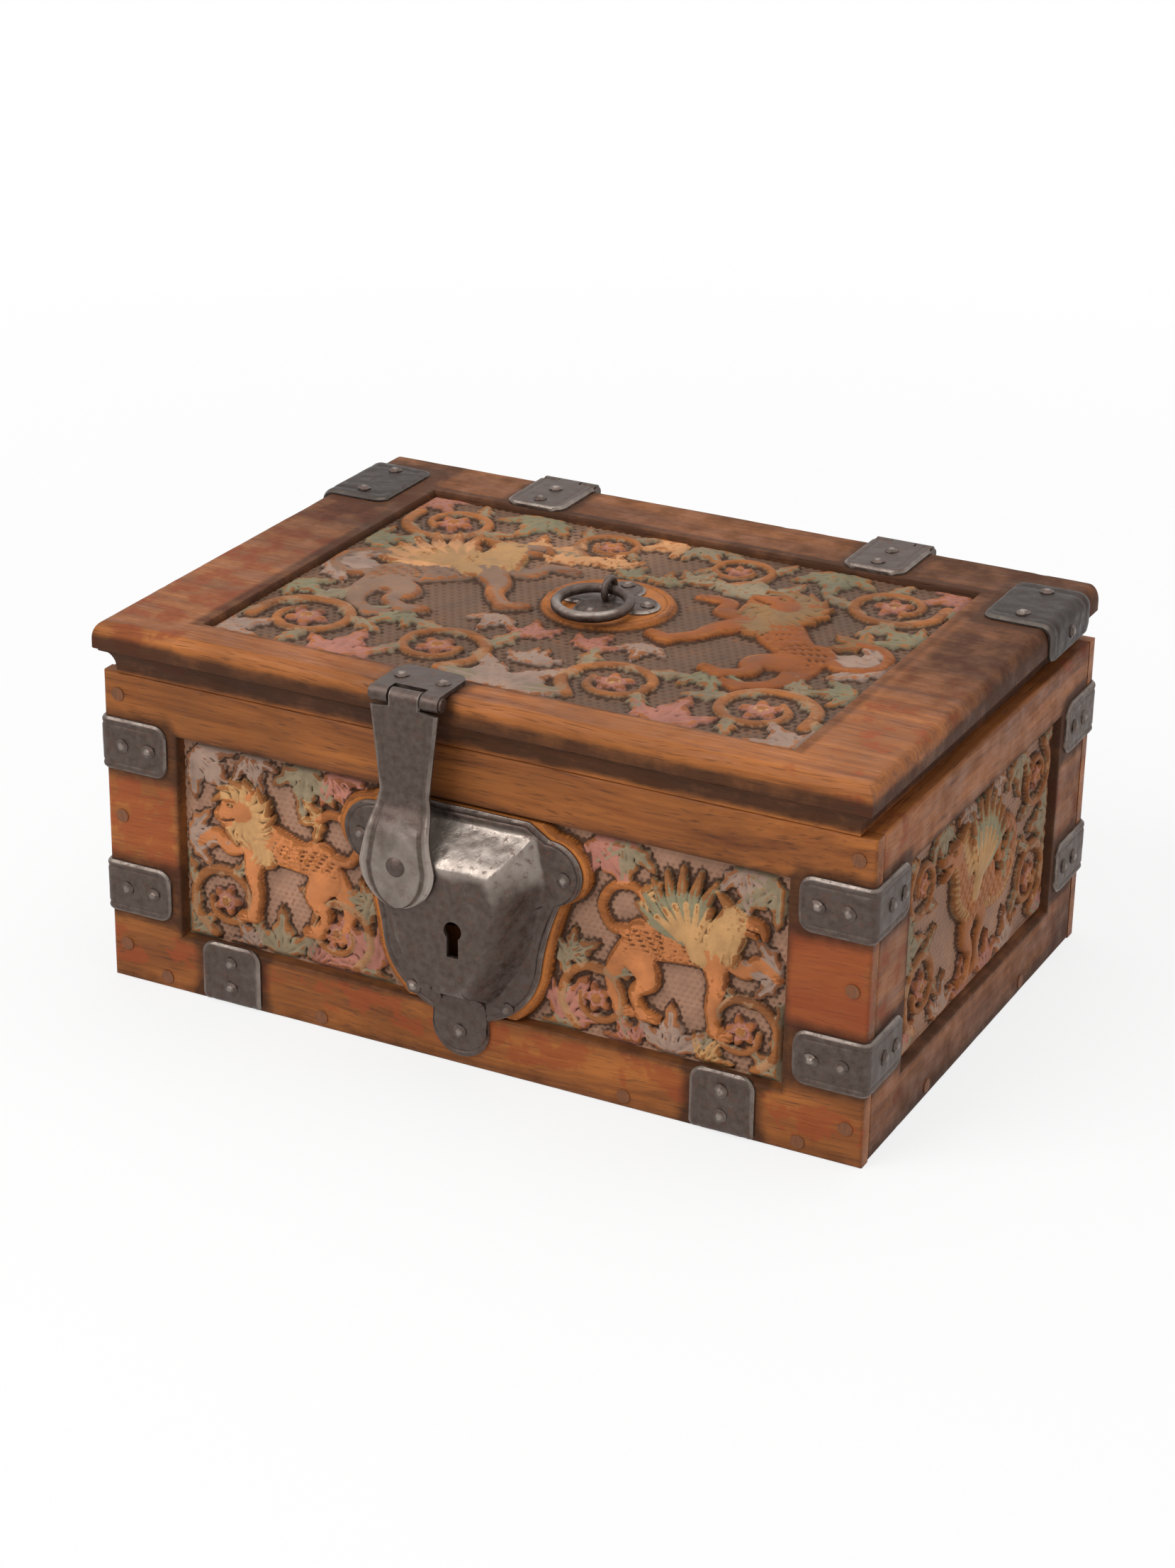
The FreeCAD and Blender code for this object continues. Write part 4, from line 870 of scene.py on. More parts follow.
class Hand:
    """Carves forms into a relief about a centre, turned, sized and, if wished, mirrored.

    A path is a list of places, each with the form's half width there.
    """

    def __init__(self, relief, top, centre=(0, 0), size=1.0, turn=0.0, mirror=1):
        self.relief = relief
        du = relief.u - centre[0]
        dv = relief.v - centre[1]
        angle = math.radians(turn)
        self.p = mirror * (du * math.cos(angle) + dv * math.sin(angle)) / size
        self.q = (dv * math.cos(angle) - du * math.sin(angle)) / size
        self.top = top

    def moved(self, p, q):
        """The same hand with its centre moved."""
        other = copy.copy(self)
        other.p = self.p - p
        other.q = self.q - q
        return other

    def along(self, path):
        """Distance from the nearest place on a path, as a share of the half width there, and how far along
        the path that place is."""
        rows = np.array(path, dtype=float)
        rows = smooth_path(rows) if len(rows) > 2 else rows
        nearest = np.full(self.p.shape, OUTSIDE)
        place = np.zeros(self.p.shape)
        passed = 0.0
        for (p0, q0, w0), (p1, q1, w1) in zip(rows[:-1], rows[1:]):
            run_p, run_q = p1 - p0, q1 - q0
            length = math.hypot(run_p, run_q)
            t = np.clip(((self.p - p0) * run_p + (self.q - q0) * run_q) / length ** 2, 0, 1)
            gap = np.hypot(self.p - p0 - t * run_p, self.q - q0 - t * run_q) / (w0 + t * (w1 - w0))
            place = np.where(gap < nearest, passed + t * length, place)
            nearest = np.minimum(nearest, gap)
            passed += length
        return nearest, place

    def swelling(self, share, level):
        """Height of a form: a steep cut edge, then a round top."""
        body = 0.42 + 0.58 * np.sqrt(np.clip(1 - share ** 2, 0, 1))
        return self.top * level * body * eased(1 - share, 0, 0.16)

    def limbs(self, paint, *rows):
        """Lays round forms in one paint, each by its level and path."""
        for level, *path in rows:
            self.relief.lay(self.swelling(self.along(path)[0], level), paint)

    def grooves(self, *rows):
        """Cuts lines into what is already carved, each by its half width, depth and places."""
        for width, depth, *places in rows:
            share = self.along([(*place, width) for place in places])[0]
            self.relief.height -= depth * np.clip(1 - share ** 2, 0, 1) * (self.relief.height > 0.2)

    def cut_along(self, path, depth, pattern):
        """Cuts a pattern into the form along a path, fading out at its edge."""
        self.relief.height -= depth * pattern * (1 - eased(self.along(path)[0], 0.6, 0.95))

    def fur(self, path):
        """Short combed strokes in staggered wavy rows."""
        row_at = (self.q + 0.7 * np.sin(self.p / 3.1)) / FUR_ROW
        row = np.round(row_at)
        along = (self.p + 1.1 * row) / FUR_STROKE + 0.5 * (row % 2)
        across = np.clip(1 - (2.5 * (row_at - row)) ** 2, 0, 1)
        self.cut_along(path, FUR_DEPTH, across * np.clip(1 - (2.3 * (along - np.round(along))) ** 2, 0, 1))

    def scales(self, path):
        """Round rear edges of staggered scales."""
        row = np.round(self.q / SCALE_ROW)
        cell = self.p / SCALE_LONG + 0.5 * (row % 2)
        back = cell - np.round(cell)
        gap = np.hypot(2 * back, 1.3 * (self.q / SCALE_ROW - row))
        self.cut_along(path, SCALE_DEPTH, bell(gap, 0.78, 0.24) * (back > 0))

    def plates(self, paint, level, *path):
        """Lays a ridge along a path and cuts it across at even steps."""
        share, place = self.along(path)
        step = place / PLATE_PITCH
        bar = np.clip(1 - (3.4 * (step - np.round(step))) ** 2, 0, 1)
        form = self.swelling(share, level)
        self.relief.lay(form - 0.5 * bar * (form > 0), paint)

    def leaf(self, root, angle, length, width, level, paint, lobes=3):
        """Leaf with a lobed edge, a sunk midrib and slanting veins."""
        turn = math.radians(angle)
        p = self.p - root[0]
        q = self.q - root[1]
        along = (p * math.cos(turn) + q * math.sin(turn)) / length
        across = q * math.cos(turn) - p * math.sin(turn)
        t = np.clip(along, 0.001, 0.999)
        lobed = 0.80 + 0.20 * np.cos(2 * math.pi * (lobes * t + 0.5))
        half = width / 2 * np.sin(math.pi * t ** 0.8) * lobed
        share = np.abs(across) / np.maximum(half, 0.05)
        share = np.where((along < 0) | (along > 1), OUTSIDE, share)
        veins = 0.5 + 0.5 * np.cos(2 * math.pi * (lobes * t - 0.7 * np.clip(share, 0, 1)))
        rib = bell(across, 0, 0.09 * width) * eased(t, 0, 0.1) * (1 - eased(t, 0.7, 0.95))
        cuts = self.top * level * (0.12 * veins + 0.26 * rib) * (share < 1)
        self.relief.lay(self.swelling(share, level) - cuts, paint)

    def flower(self, centre, radius, level, paint, middle, petals=5):
        """Round flower: petals as a wavy edge, a hollow between them and a raised middle."""
        p = self.p - centre[0]
        q = self.q - centre[1]
        wave = np.cos(petals * np.arctan2(q, p))
        share = np.hypot(p, q) / (radius * (0.80 + 0.20 * wave))
        form = self.swelling(share, level) * (1 - 0.30 * bell(share, 0.45, 0.16))
        form -= 0.22 * self.top * level * (0.5 - 0.5 * wave) * eased(share, 0.4, 0.7) * (share < 1)
        self.relief.lay(form, paint)
        self.relief.lay(self.swelling(np.hypot(p, q) / (0.36 * radius), level * 1.05), middle)

    def scroll(self, inks, centre, radius, start, sweep):
        """Vine that winds in to a flower, with leaves on its outer and inner side in turn."""
        share = np.linspace(0, 1, 11)
        angle = np.radians(start + sweep * share)
        reach = radius * (1 - 0.58 * share)
        points = np.column_stack([centre[0] + reach * np.cos(angle), centre[1] + reach * np.sin(angle),
                                  0.14 * radius * (1 - 0.4 * share)])
        for k in range(8):
            slant, long = (122, 0.66) if k % 2 else (52, 1.12)
            length = radius * long * (1 - 0.05 * k)
            turned = math.degrees(angle[k]) + math.copysign(slant, sweep)
            self.leaf(points[k], turned, length, 0.56 * length, 0.62, inks["leaf"])
        self.limbs(inks["stem"], (0.70, *points))
        self.flower(centre, 0.43 * radius, 0.84, inks["flower"], inks["mane"])

    def spray(self, paint, root, angle, length):
        """Three leaves fanned from one root, the middle one on top."""
        for slant, share, level in ((-48, 0.82, 0.60), (48, 0.82, 0.60), (0, 1.0, 0.66)):
            self.leaf(root, angle + slant, share * length, 0.52 * share * length, level, paint)

    def foliage(self, inks, scrolls, sprays):
        """Sprays for each paint by root, angle and length; over them scrolls by centre, radius, angle and
        sweep."""
        for paint, rows in sprays.items():
            for row in rows:
                self.spray(inks[paint], *row)
        for row in scrolls:
            self.scroll(inks, *row)

    def toes(self, depth, *feet):
        """Two cuts across the front of each foot."""
        for p, q in feet:
            for k in range(2):
                self.grooves((0.5, depth, (p - 2, q + 1.6 - 2.2 * k), (p + 2.4, q + 1.1 - 1.6 * k)))


def quadruped(hand, body, light, feather=None):
    """Beast walking to the left with one foot raised, a lion or, with feathers, a griffin; its far legs
    lie lower."""
    # legs of the far side, and the tail
    hand.limbs(body, (0.62, (-18, 6, 5), (-26, 1, 3.7), (-31, 6, 3), (-36, 4, 2.8)),
               (0.64, (-36, 4, 3.1), (-39.5, 1, 2.2)),
               (0.60, (20, 0, 6.5), (27, -9, 4.4), (28.5, -17, 3), (25.5, -25, 2.7)),
               (0.62, (25.5, -26, 3.2), (20, -27, 2.4)),
               (0.74, (23, 7, 2.6), (29, 7, 2.3), (33, 15, 2.1), (29, 23, 2), (21, 25.5, 2), (15, 22, 2.1)))
    for angle in (140, 252, 196):
        hand.leaf((16.5, 22.5), angle, 11.5, 7.4, 0.80, light, 2)
    # trunk
    trunk = (-14, 9, 10.8), (-4, 6.5, 8.8), (8, 4, 7.4), (17, 3, 8.6)
    haunch = (15, 4, 9.6), (18.5, -3, 7.6)
    hand.limbs(body, (0.84, *trunk), (0.92, *haunch))
    hand.fur(trunk)
    hand.fur(haunch)
    hand.grooves((0.9, 0.16 * hand.top, (8.5, 9), (7.5, 1), (11.5, -6)))
    # legs of the near side
    hand.limbs(body, (0.94, (17, -4, 7.2), (13, -12, 5), (18.5, -18, 3.1), (15.5, -25, 2.9)),
               (0.96, (15.5, -26, 3.5), (9.5, -27, 2.5)),
               (0.92, (-13, 5, 6.6), (-15, -7, 4.6), (-13, -16, 3.2), (-14.5, -25, 3)),
               (0.96, (-14.5, -26, 3.5), (-20.5, -27, 2.5)))
    # ribs and toes
    for k in range(3):
        p = 3.6 * k
        hand.grooves((0.8, 0.1 * hand.top, (p - 4, 9 - 0.9 * k), (p - 5.5, 4), (p - 3.5, -1)))
    hand.toes(0.4 * hand.top / 3, (9.5, -27), (20, -27), (-20.5, -27), (-39.5, 1))
    if feather is None:
        lion_head(hand, body, light)
    else:
        eagle_head(hand, body, light)
        wing(hand, light, feather)


def lion_head(hand, body, light):
    """Round head with a ring of curling locks and more down the chest."""
    hand.limbs(light, (0.86, (-13, 9, 11), (-18, 16, 10.5)))
    middle = (-19, 17.5)
    for k in range(11):
        angle = math.radians(-128 + 27 * k)
        tip = math.radians(-128 + 27 * k + 26)
        hand.limbs(light, (0.96, (*ray(middle, 6, angle), 2.5), (*ray(middle, 10.5, angle), 2.3),
                           (*ray(middle, 14.2, tip), 0.9)))
    for k in range(4):
        hand.limbs(light, (0.98, (-15 + 2.6 * k, 8 - 1.5 * k, 2.5), (-13 + 2.2 * k, 2.5 - 1.2 * k, 2.3),
                           (-15.5 + 2.4 * k, -1.5 - 0.6 * k, 0.8)))
    # head, muzzle, jaw and ear; mouth and nostril; brow; eye
    hand.limbs(body, (1.0, (-19.5, 19, 7.4), (-24, 18, 6.4)), (1.06, (-25, 16.5, 4.9), (-29, 15.2, 3.9)),
               (0.98, (-24, 12.6, 2.8), (-27.6, 11.4, 2)), (1.0, (-15.5, 25, 2.8), (-13.8, 28, 1.6)))
    hand.grooves((0.75, 0.75, (-30, 13.2), (-26, 13.6), (-23, 14.6)),
                 (0.8, 0.6, (-31.8, 17.4), (-30.6, 16.2)))
    hand.limbs(body, (1.10, (-26.5, 22.2, 1.3), (-22.4, 22.6, 1.5)))
    hand.grooves((0.95, 0.7, (-25.2, 20.2), (-23.6, 20.1)))
    hand.limbs(light, (0.98, (-24.6, 20.2, 0.5), (-24.2, 20.2, 0.5)))


def eagle_head(hand, body, light):
    """Hooked beak, round eye and a neck of overlapping feathers."""
    hand.limbs(light, (0.90, (-14, 9, 10), (-19, 16, 8), (-21, 21, 6.6)))
    for row, k in itertools.product(range(3), range(4)):
        p = -21 + 4.4 * k + 2.0 * (row % 2) - 0.6 * row
        q = 13.5 - 4.6 * row + 0.6 * k
        hand.limbs(light, (0.93 + 0.02 * row, (p, q + 2.4, 2.2), (p + 0.4, q - 1.2, 1.2)))
    # head; beak; mouth; ear; eye
    hand.limbs(light, (1.0, (-21, 22, 6.2), (-25, 21.5, 5)))
    hand.limbs(body, (1.02, (-28, 21.5, 3.5), (-32.5, 20.5, 2.5), (-34, 16.5, 0.9)),
               (0.96, (-27, 18, 2), (-30.5, 16.6, 1.1)))
    hand.grooves((0.6, 0.6, (-32, 18.4), (-27, 19.3)))
    hand.limbs(light, (1.0, (-18.5, 27, 2.6), (-14.5, 31.5, 1)))
    hand.grooves((1.5, 0.6, (-25.3, 22.8), (-24.5, 22.8)))
    hand.limbs(body, (1.02, (-25.0, 22.8, 0.8), (-24.8, 22.8, 0.8)))


def wing(hand, light, feather):
    """Raised wing: long feathers fanned from the shoulder, under two rows of short ones."""
    root = (-5, 7)
    for k in range(7):
        angle = math.radians(108 - 13.5 * k)
        reach = 31 - 1.2 * abs(k - 2)
        middle = ray(root, 0.6 * reach, angle - 0.10)
        tip = ray(root, reach, angle)
        hand.limbs(feather, (0.93 - 0.012 * k, (*root, 2.4), (*middle, 2.9), (*tip, 1.3)))
        hand.grooves((0.45, 0.3, middle, tip))
    for level, reach, count in ((1.0, 17, 6), (1.04, 11, 5)):
        for k in range(count):
            angle = math.radians(112 - 16 * k)
            hand.limbs(light, (level, (*ray(root, 0.35 * reach, angle), 3), (*ray(root, reach, angle), 1.9)))
    hand.limbs(light, (1.06, (-8, 3, 4.6), (-5, 9, 4.2)))


def wyvern(hand, body, light, feather):
    """Two-legged dragon to the left: crested neck, plated belly, one wing, and a tail that winds into
    a leaf."""
    tail = ((6, -2, 8), (16, -8, 6.5), (27, -6, 5.2), (33, 4, 4.2), (28, 13, 3.4), (20, 11, 2.8),
            (19, 4, 2.3), (24, 2, 2))
    hand.limbs(body, (0.78, *tail))
    hand.scales(tail)
    hand.plates(light, 0.80, (8, -8.5, 2.4), (17, -12, 2.2), (29, -9.4, 1.9), (35.6, 2, 1.5))
    for angle in (40, -80, -20):
        hand.leaf((23.5, 2.3), angle, 10, 7, 0.90, feather, 2)
    # far leg
    hand.limbs(body, (0.66, (4, -6, 5.6), (8, -15, 3.6), (3, -22, 2.5), (4.5, -29, 2.4)),
               (0.68, (4.5, -30, 2.8), (-1.5, -31, 1.9)))
    # crest down the neck, then the neck and trunk over its roots
    for k in range(6):
        p, q = -18.5 + 1.9 * k, 23 - 3.0 * k
        hand.limbs(light, (0.80, (p, q, 2.6), (p + 3.4, q + 1.6, 1.9), (p + 5.6, q + 4.6, 0.6)))
    trunk = (8, -1, 9.4), (-4, -2, 9.6), (-14, 4, 8), (-17, 13, 5.8), (-21, 20, 5.2)
    hand.limbs(body, (0.90, *trunk))
    hand.scales(trunk)
    hand.plates(light, 0.95, (-24.4, 17.6, 1.8), (-20.6, 11.2, 2.3), (-18.2, 0.8, 2.9), (-9, -7.4, 2.9))
    # near leg
    thigh = (-3, -4, 7.4), (-8, -11, 5.6)
    hand.limbs(body, (0.98, *thigh))
    hand.scales(thigh)
    hand.limbs(body, (0.98, (-8, -11, 5), (-9, -15, 4.2), (-5, -22, 2.8), (-7, -29, 2.6)),
               (1.0, (-7, -30, 3), (-13.5, -31, 2)))
    hand.toes(0.5, (-1.5, -31), (-13.5, -31))
    wing(hand.moved(5, -4), light, feather)
    # head and jaws; ear; mouth; brow; eye and nostril
    hand.limbs(body, (1.0, (-21, 20, 6), (-27, 21, 4.6)), (1.02, (-28, 21, 3.4), (-34, 22.5, 2)),
               (0.96, (-27, 17, 2.6), (-32, 15.6, 1.6)))
    hand.limbs(light, (1.0, (-18, 24, 2.4), (-13, 28, 1)))
    hand.grooves((0.6, 0.6, (-17.6, 24.4), (-14.6, 26.8)), (0.8, 0.9, (-34, 19.4), (-27.5, 19.2)))
    hand.limbs(body, (1.10, (-28.4, 24.6, 1.3), (-22.8, 25.2, 1.7)))
    hand.grooves((1.3, 0.8, (-26.2, 22.5), (-24.6, 22.5)))
    hand.limbs(light, (1.0, (-25.6, 22.5, 0.7), (-25.2, 22.5, 0.7)))
    hand.grooves((0.6, 0.6, (-34.2, 23.2), (-33, 22.6)))


def front_left_carving(relief, top, inks):
    """Lion between vine scrolls, walking away from the lock."""
    Hand(relief, top).foliage(
        inks, (((-100, 40), 15, 250, -430), ((-54, 38), 14.5, 300, 430)),
        {"leaf": (((-77, 23), 90, 21), ((-66, 99), 262, 22), ((-116, 24), 40, 16), ((-41, 51), 160, 14)),
         "flower": (((-38, 27), 132, 25), ((-56, 99), 300, 18), ((-63, 23), 55, 15)),
         "grey": (((-113, 96), -40, 24), ((-116, 63), 0, 19), ((-90, 99), 290, 17), ((-88, 23), 125, 15))})
    quadruped(Hand(relief, top, (-75, 60), 0.90), inks["beast"], inks["mane"])


def front_right_carving(relief, top, inks):
    """Griffin between vine scrolls, walking away from the lock."""
    Hand(relief, top, mirror=-1).foliage(
        inks, (((-102, 39), 15, 250, -430), ((-48, 38), 14.5, 300, 430)),
        {"leaf": (((-114, 96), -40, 22), ((-116, 24), 40, 16), ((-58, 99), 270, 19), ((-37, 52), 150, 14)),
         "flower": (((-45, 97), 226, 22), ((-34, 27), 120, 22), ((-62, 23), 60, 15)),
         "grey": (((-116, 63), 0, 19), ((-101, 99), 262, 18), ((-76, 23), 90, 21)),
         "mane": (((-88, 23), 120, 15),)})
    quadruped(Hand(relief, top, (79, 60), 0.90, mirror=-1), inks["beast"], inks["mane"], inks["feather"])


def end_carving(relief, top, inks):
    """Dragon between vine scrolls."""
    for side in (-1, 1):
        Hand(relief, top, mirror=side).foliage(
            inks, (((-51, 44), 15.5, 255, -430), ((-53, 83), 13, 120, 430)),
            {"leaf": (((-68, 63), 0, 20), ((-34, 99), 262, 19)),
             "flower": (((-68, 24), 40, 17), ((-12, 23), 90, 17)),
             "grey": (((-32, 23), 80, 19), ((-12, 99), 258, 16))})
    wyvern(Hand(relief, top, (-2, 62), 1.04), 0.66 * inks["beast"], 0.8 * inks["mane"], inks["feather"])


def lid_carving(relief, top, inks):
    """Lion and griffin rearing either side of the handle, among vine scrolls."""
    for side, paint in ((-1, "leaf"), (1, "pale_wing")):
        Hand(relief, top, mirror=side).foliage(
            inks, (((-90, 48), 19, 160, 430), ((-88, -62), 20, 200, -430), ((-34, -64), 19, -60, 430),
                   ((-26, 54), 14, 250, -430)),
            {"feather": (((-60, 72), 262, 27), ((-111, -34), -20, 20), ((-111, 18), 28, 21),
                         ((-58, -40), 240, 20), ((-8, 28), 78, 15)),
             "flower": (((-111, 70), -40, 20), ((-62, -89), 92, 27), ((-10, -41), 108, 17)),
             "grey": (((-2, -88), 115, 29), ((-111, -86), 45, 23), ((-111, -8), 0, 30), ((-28, -27), 262, 17),
                      ((-2, -63), 90, 15)),
             paint: (((-48, 33), 105, 22), ((-36, 30), 92, 24), ((-3, 71), 225, 20), ((-16, 34), 105, 18))})
    quadruped(Hand(relief, top, (64, -4), 1.20, -34), inks["brown_beast"], 0.50 * inks["mane"])
    quadruped(Hand(relief, top, (-64, -4), 1.20, 34, -1), inks["pale_beast"], 0.85 * inks["mane"],
              inks["pale_wing"])


def carving_inks(settings, strength=1.0):
    """Paints of a carving by what they colour, made duller or stronger as a whole."""
    names = ("beast", "mane", "leaf", "flower", "grey", "feather", "stem", "brown_beast", "pale_beast",
             "pale_wing")
    return {name: strength * np.array(getattr(settings, name)) for name in names}


class CASKET_OT_box_carvings(bpy.types.Operator):
    """Carved fields of the front and the two ends"""

    bl_idname = "casket.box_carvings"
    bl_label = "Carvings of the box"

    def execute(self, context):
        settings = context.scene.casket_carving

        def on_front(u, v, height):
            return np.stack([u, FIELD_DEPTH - HALF_DEPTH - height, v], axis=-1)

        def on_end(end):
            return lambda u, v, height: np.stack(
                [end * (HALF_LENGTH - FIELD_DEPTH + height), end * u, v], axis=-1)
        long = carved_finish("carved_long")
        upright = carved_finish("carved_upright", UPRIGHT)
        front = FRONT_FIELD_X - FIELD_INSET
        side = END_FIELD_Y - FIELD_INSET
        fields = (("front_carving_left", -front, LOCK_X, front_left_carving, on_front, long),
                  ("front_carving_right", LOCK_X, front, front_right_carving, on_front, long),
                  ("end_carving_left", -side, side, end_carving, on_end(-1), upright),
                  ("end_carving_right", -side, side, end_carving, on_end(1), upright))
        for seed, (name, start, stop, carve, place, finish) in enumerate(fields, 1):
            relief = Relief((start, FIELD_LOW + FIELD_INSET), (stop, FIELD_HIGH - FIELD_INSET), settings.step,
                            settings.ground)
            carve(relief, settings.relief, carving_inks(settings))
            relief.strike_ground(seed, settings.punch)
            if place is on_front:
                self.lock_table(relief)
            relief.piece(name, place, "case", finish)
        return {"FINISHED"}

    def lock_table(self, relief):
        """Leaves the wood at full height under the lock and a little beyond its outline."""
        u = relief.u - LOCK_X
        v = relief.v - LOCK_Z - LOCK_MIDDLE
        gap = np.hypot(u, v) - shield_reach(np.arctan2(v, u)) - LOCK_TABLE_MARGIN
        relief.leave_plain(gap, FIELD_DEPTH - GROUND_LEVEL - 0.05, TABLE_SLOPE)


class CASKET_OT_lid_carving(bpy.types.Operator):
    """Carved field of the lid, round the plain pad of the handle"""

    bl_idname = "casket.lid_carving"
    bl_label = "Carving of the lid"

    def execute(self, context):
        settings = context.scene.casket_carving
        reach = LID_FIELD_X - FIELD_INSET
        relief = Relief((-reach, LID_FIELD_FRONT + FIELD_INSET), (reach, LID_FIELD_BACK - FIELD_INSET),
                        settings.lid_step, settings.lid_ground)
        top = settings.relief * (LID_FIELD_DEPTH - GROUND_LEVEL) / (FIELD_DEPTH - GROUND_LEVEL)
        middle, radius, paler = LID_RUB
        rub = bell(np.hypot(relief.u - middle[0], relief.v - middle[1]), 0, radius)
        relief.paint *= 1 + paler * rub[..., None]
        lid_carving(relief, top, carving_inks(settings, LID_PAINT))
        relief.strike_ground(5, LID_PUNCH * settings.punch)
        gap = np.hypot(relief.u, relief.v) - PAD_RADIUS
        depth, place, width = PAD_LINE
        relief.leave_plain(gap, PAD_RISE - GROUND_LEVEL - depth * bell(gap, place, width), PAD_SLOPE)

        def on_lid(u, v, height):
            return np.stack([u, v, LID_FLOOR + height], axis=-1)
        relief.piece("lid_carving", on_lid, "lid", carved_finish("carved_long"))
        return {"FINISHED"}


# Lid
LID_QUIRK = 1.5
COVE_RUN = 4.5
COVE_HEIGHT = 7.5
FILLET_RUN = 1.5
FILLET_HEIGHT = 1.0
THUMB_RUN = 4.0
THUMB_HEIGHT = 6.0
LID_STEP = 2.0
LID_CREASE = 30.0


def lid_profile():
    """Rings of the lid, from the middle of its underside out round the moulding and in over the top and the
    field's edge to the middle of the sunk field.

    Each ring has its depth behind the outer edge, its height above the underside, its share of the way
    from the moulding to the field's edge, and its depth inside the field.
    """
    thick = LID_TOP - LID_LOW[2]
    quarter = np.linspace(0, math.pi / 2, 9)
    foot = COVE_RUN + FILLET_RUN
    fillet = LID_QUIRK + COVE_HEIGHT + FILLET_HEIGHT
    thumb_low = thick - THUMB_HEIGHT
    middle = (LID_FIELD_BACK - LID_FIELD_FRONT) / 2
    rings = [(foot, 0, 1, share * middle) for share in np.linspace(1, 0, 12)]
    rings += [(foot, 0, 0.5, 0), (foot + 0.3, 0, 0, 0), (foot, 0.3, 0, 0)]
    rings += [(foot - COVE_RUN * (1 - math.cos(a)), LID_QUIRK + COVE_HEIGHT * math.sin(a), 0, 0)
              for a in quarter]
    rings += [(FILLET_RUN, fillet - 0.2, 0, 0), (FILLET_RUN - 0.2, fillet, 0, 0)]
    rings += [(0.4, fillet, 0, 0), (0, fillet + 0.4, 0, 0)]
    rings += [(THUMB_RUN * (1 - math.cos(a)), thumb_low + THUMB_HEIGHT * math.sin(a), 0, 0) for a in quarter]
    rings += [(THUMB_RUN, thick, share, 0) for share in np.linspace(0.06, 0.98, 14)]
    rings += [(THUMB_RUN, thick - drop, 1, reach) for drop, reach in ((0.1, 0), (0.5, 0.35), (1.5, 0.7))]
    rings += [(THUMB_RUN, thick - LID_FIELD_DEPTH - 0.1, 1, reach) for reach in (0.9, 2.0, middle)]
    return np.array(rings).T


def lid_points(depth, height, share, inside):
    """The profile's rings as rectangles, each walked round from the front left corner in even steps.

    The moulding runs along the front and the ends; the back edge is square.
    """
    right = (1 - share) * (LID_HIGH[0] - depth) + share * LID_FIELD_X - inside
    front = (1 - share) * (LID_LOW[1] + depth) + share * LID_FIELD_FRONT + inside
    back = (1 - share) * LID_HIGH[1] + share * LID_FIELD_BACK - inside
    corners = np.array([[-right, front], [right, front], [right, back], [-right, back]])
    steps = ((LID_HIGH - LID_LOW) / LID_STEP).astype(int)
    sides = []
    for k in range(4):
        part = np.linspace(0, 1, steps[k % 2], endpoint=False)[:, None, None]
        sides.append((1 - part) * corners[k] + part * corners[(k + 1) % 4])
    walk = np.concatenate(sides)
    z = np.broadcast_to(LID_LOW[2] + height, walk[:, 0].shape)
    return np.stack([walk[:, 0], walk[:, 1], z], axis=-1)


class CASKET_OT_lid(bpy.types.Operator):
    """Moulded board of the lid with the sunk field for its carving"""

    bl_idname = "casket.lid"
    bl_label = "Lid"

    def execute(self, context):
        _, height, share, inside = profile = lid_profile()
        points = lid_points(*profile)
        worn = context.scene.casket_oak.wear * np.clip(layered(points, 15, 21), -0.2, 1)
        worn = (worn + 0.8 * np.clip(noise(points, 6, 27) - 0.55, 0, 1)) * (height > 1) * (share < 0.99)
        points[..., 2] -= worn * (height > 12)
        points[..., 1] += worn * (points[..., 1] < LID_LOW[1] + 7)
        x, y = points[..., 0], points[..., 1]
        names = ("lid_corner_iron_left", "lid_corner_iron_right", "hinge_lid_leaf_left",
                 "hinge_lid_leaf_right", "hasp_leaf")
        irons = [(low[0], high[0], low[1], high[1]) for low, high in map(span, names)]
        stain = near_iron(x, y, irons) * (height > 9)
        # Painted shade: the lid's outer edge all round, below the top of the thumb moulding, darker as it
        # faces down and away from the lamps.
        painted_shade_band = eased(height, 0.5, 2) * (1 - eased(height, 13, 17)) * (share < 0.01)
        # Dirt and painted shade along the edge of the sunk field.
        field_edge_dirt_and_shade = bell(inside, 0.5, 1) * (share > 0.9) * (height > 1)
        back = eased(y, LID_FIELD_BACK - 6, LID_FIELD_BACK + 6)
        left = eased(-x, LID_FIELD_X - 4, LID_FIELD_X + 2)
        right = eased(x, LID_FIELD_X, LID_FIELD_X + 8)
        rear = left * (0.27 + 0.58 * eased(y, -40, 50)) + 0.85 * right * eased(y, -75, 15)
        rear = np.maximum(rear, back * (0.58 + 0.20 * eased(x, 30, 90)))
        paints = {"red": ((0.42 * left * (1 - back) + 0.26 * right) * (height > 1)).ravel(),
                  "grime_and_shade": np.clip(0.8 * stain + painted_shade_band + 0.7 * field_edge_dirt_and_shade + rear, 0, 1).ravel()}
        skin = points.reshape(-1, 3), sheet_faces(*points.shape[:2], ring=True)
        mesh = painted_mesh("lid_oak", skin, paints)
        finished(mesh, "lid", oak_finish("oak_long"), ("lid_board",), LID_CREASE)
        return {"FINISHED"}


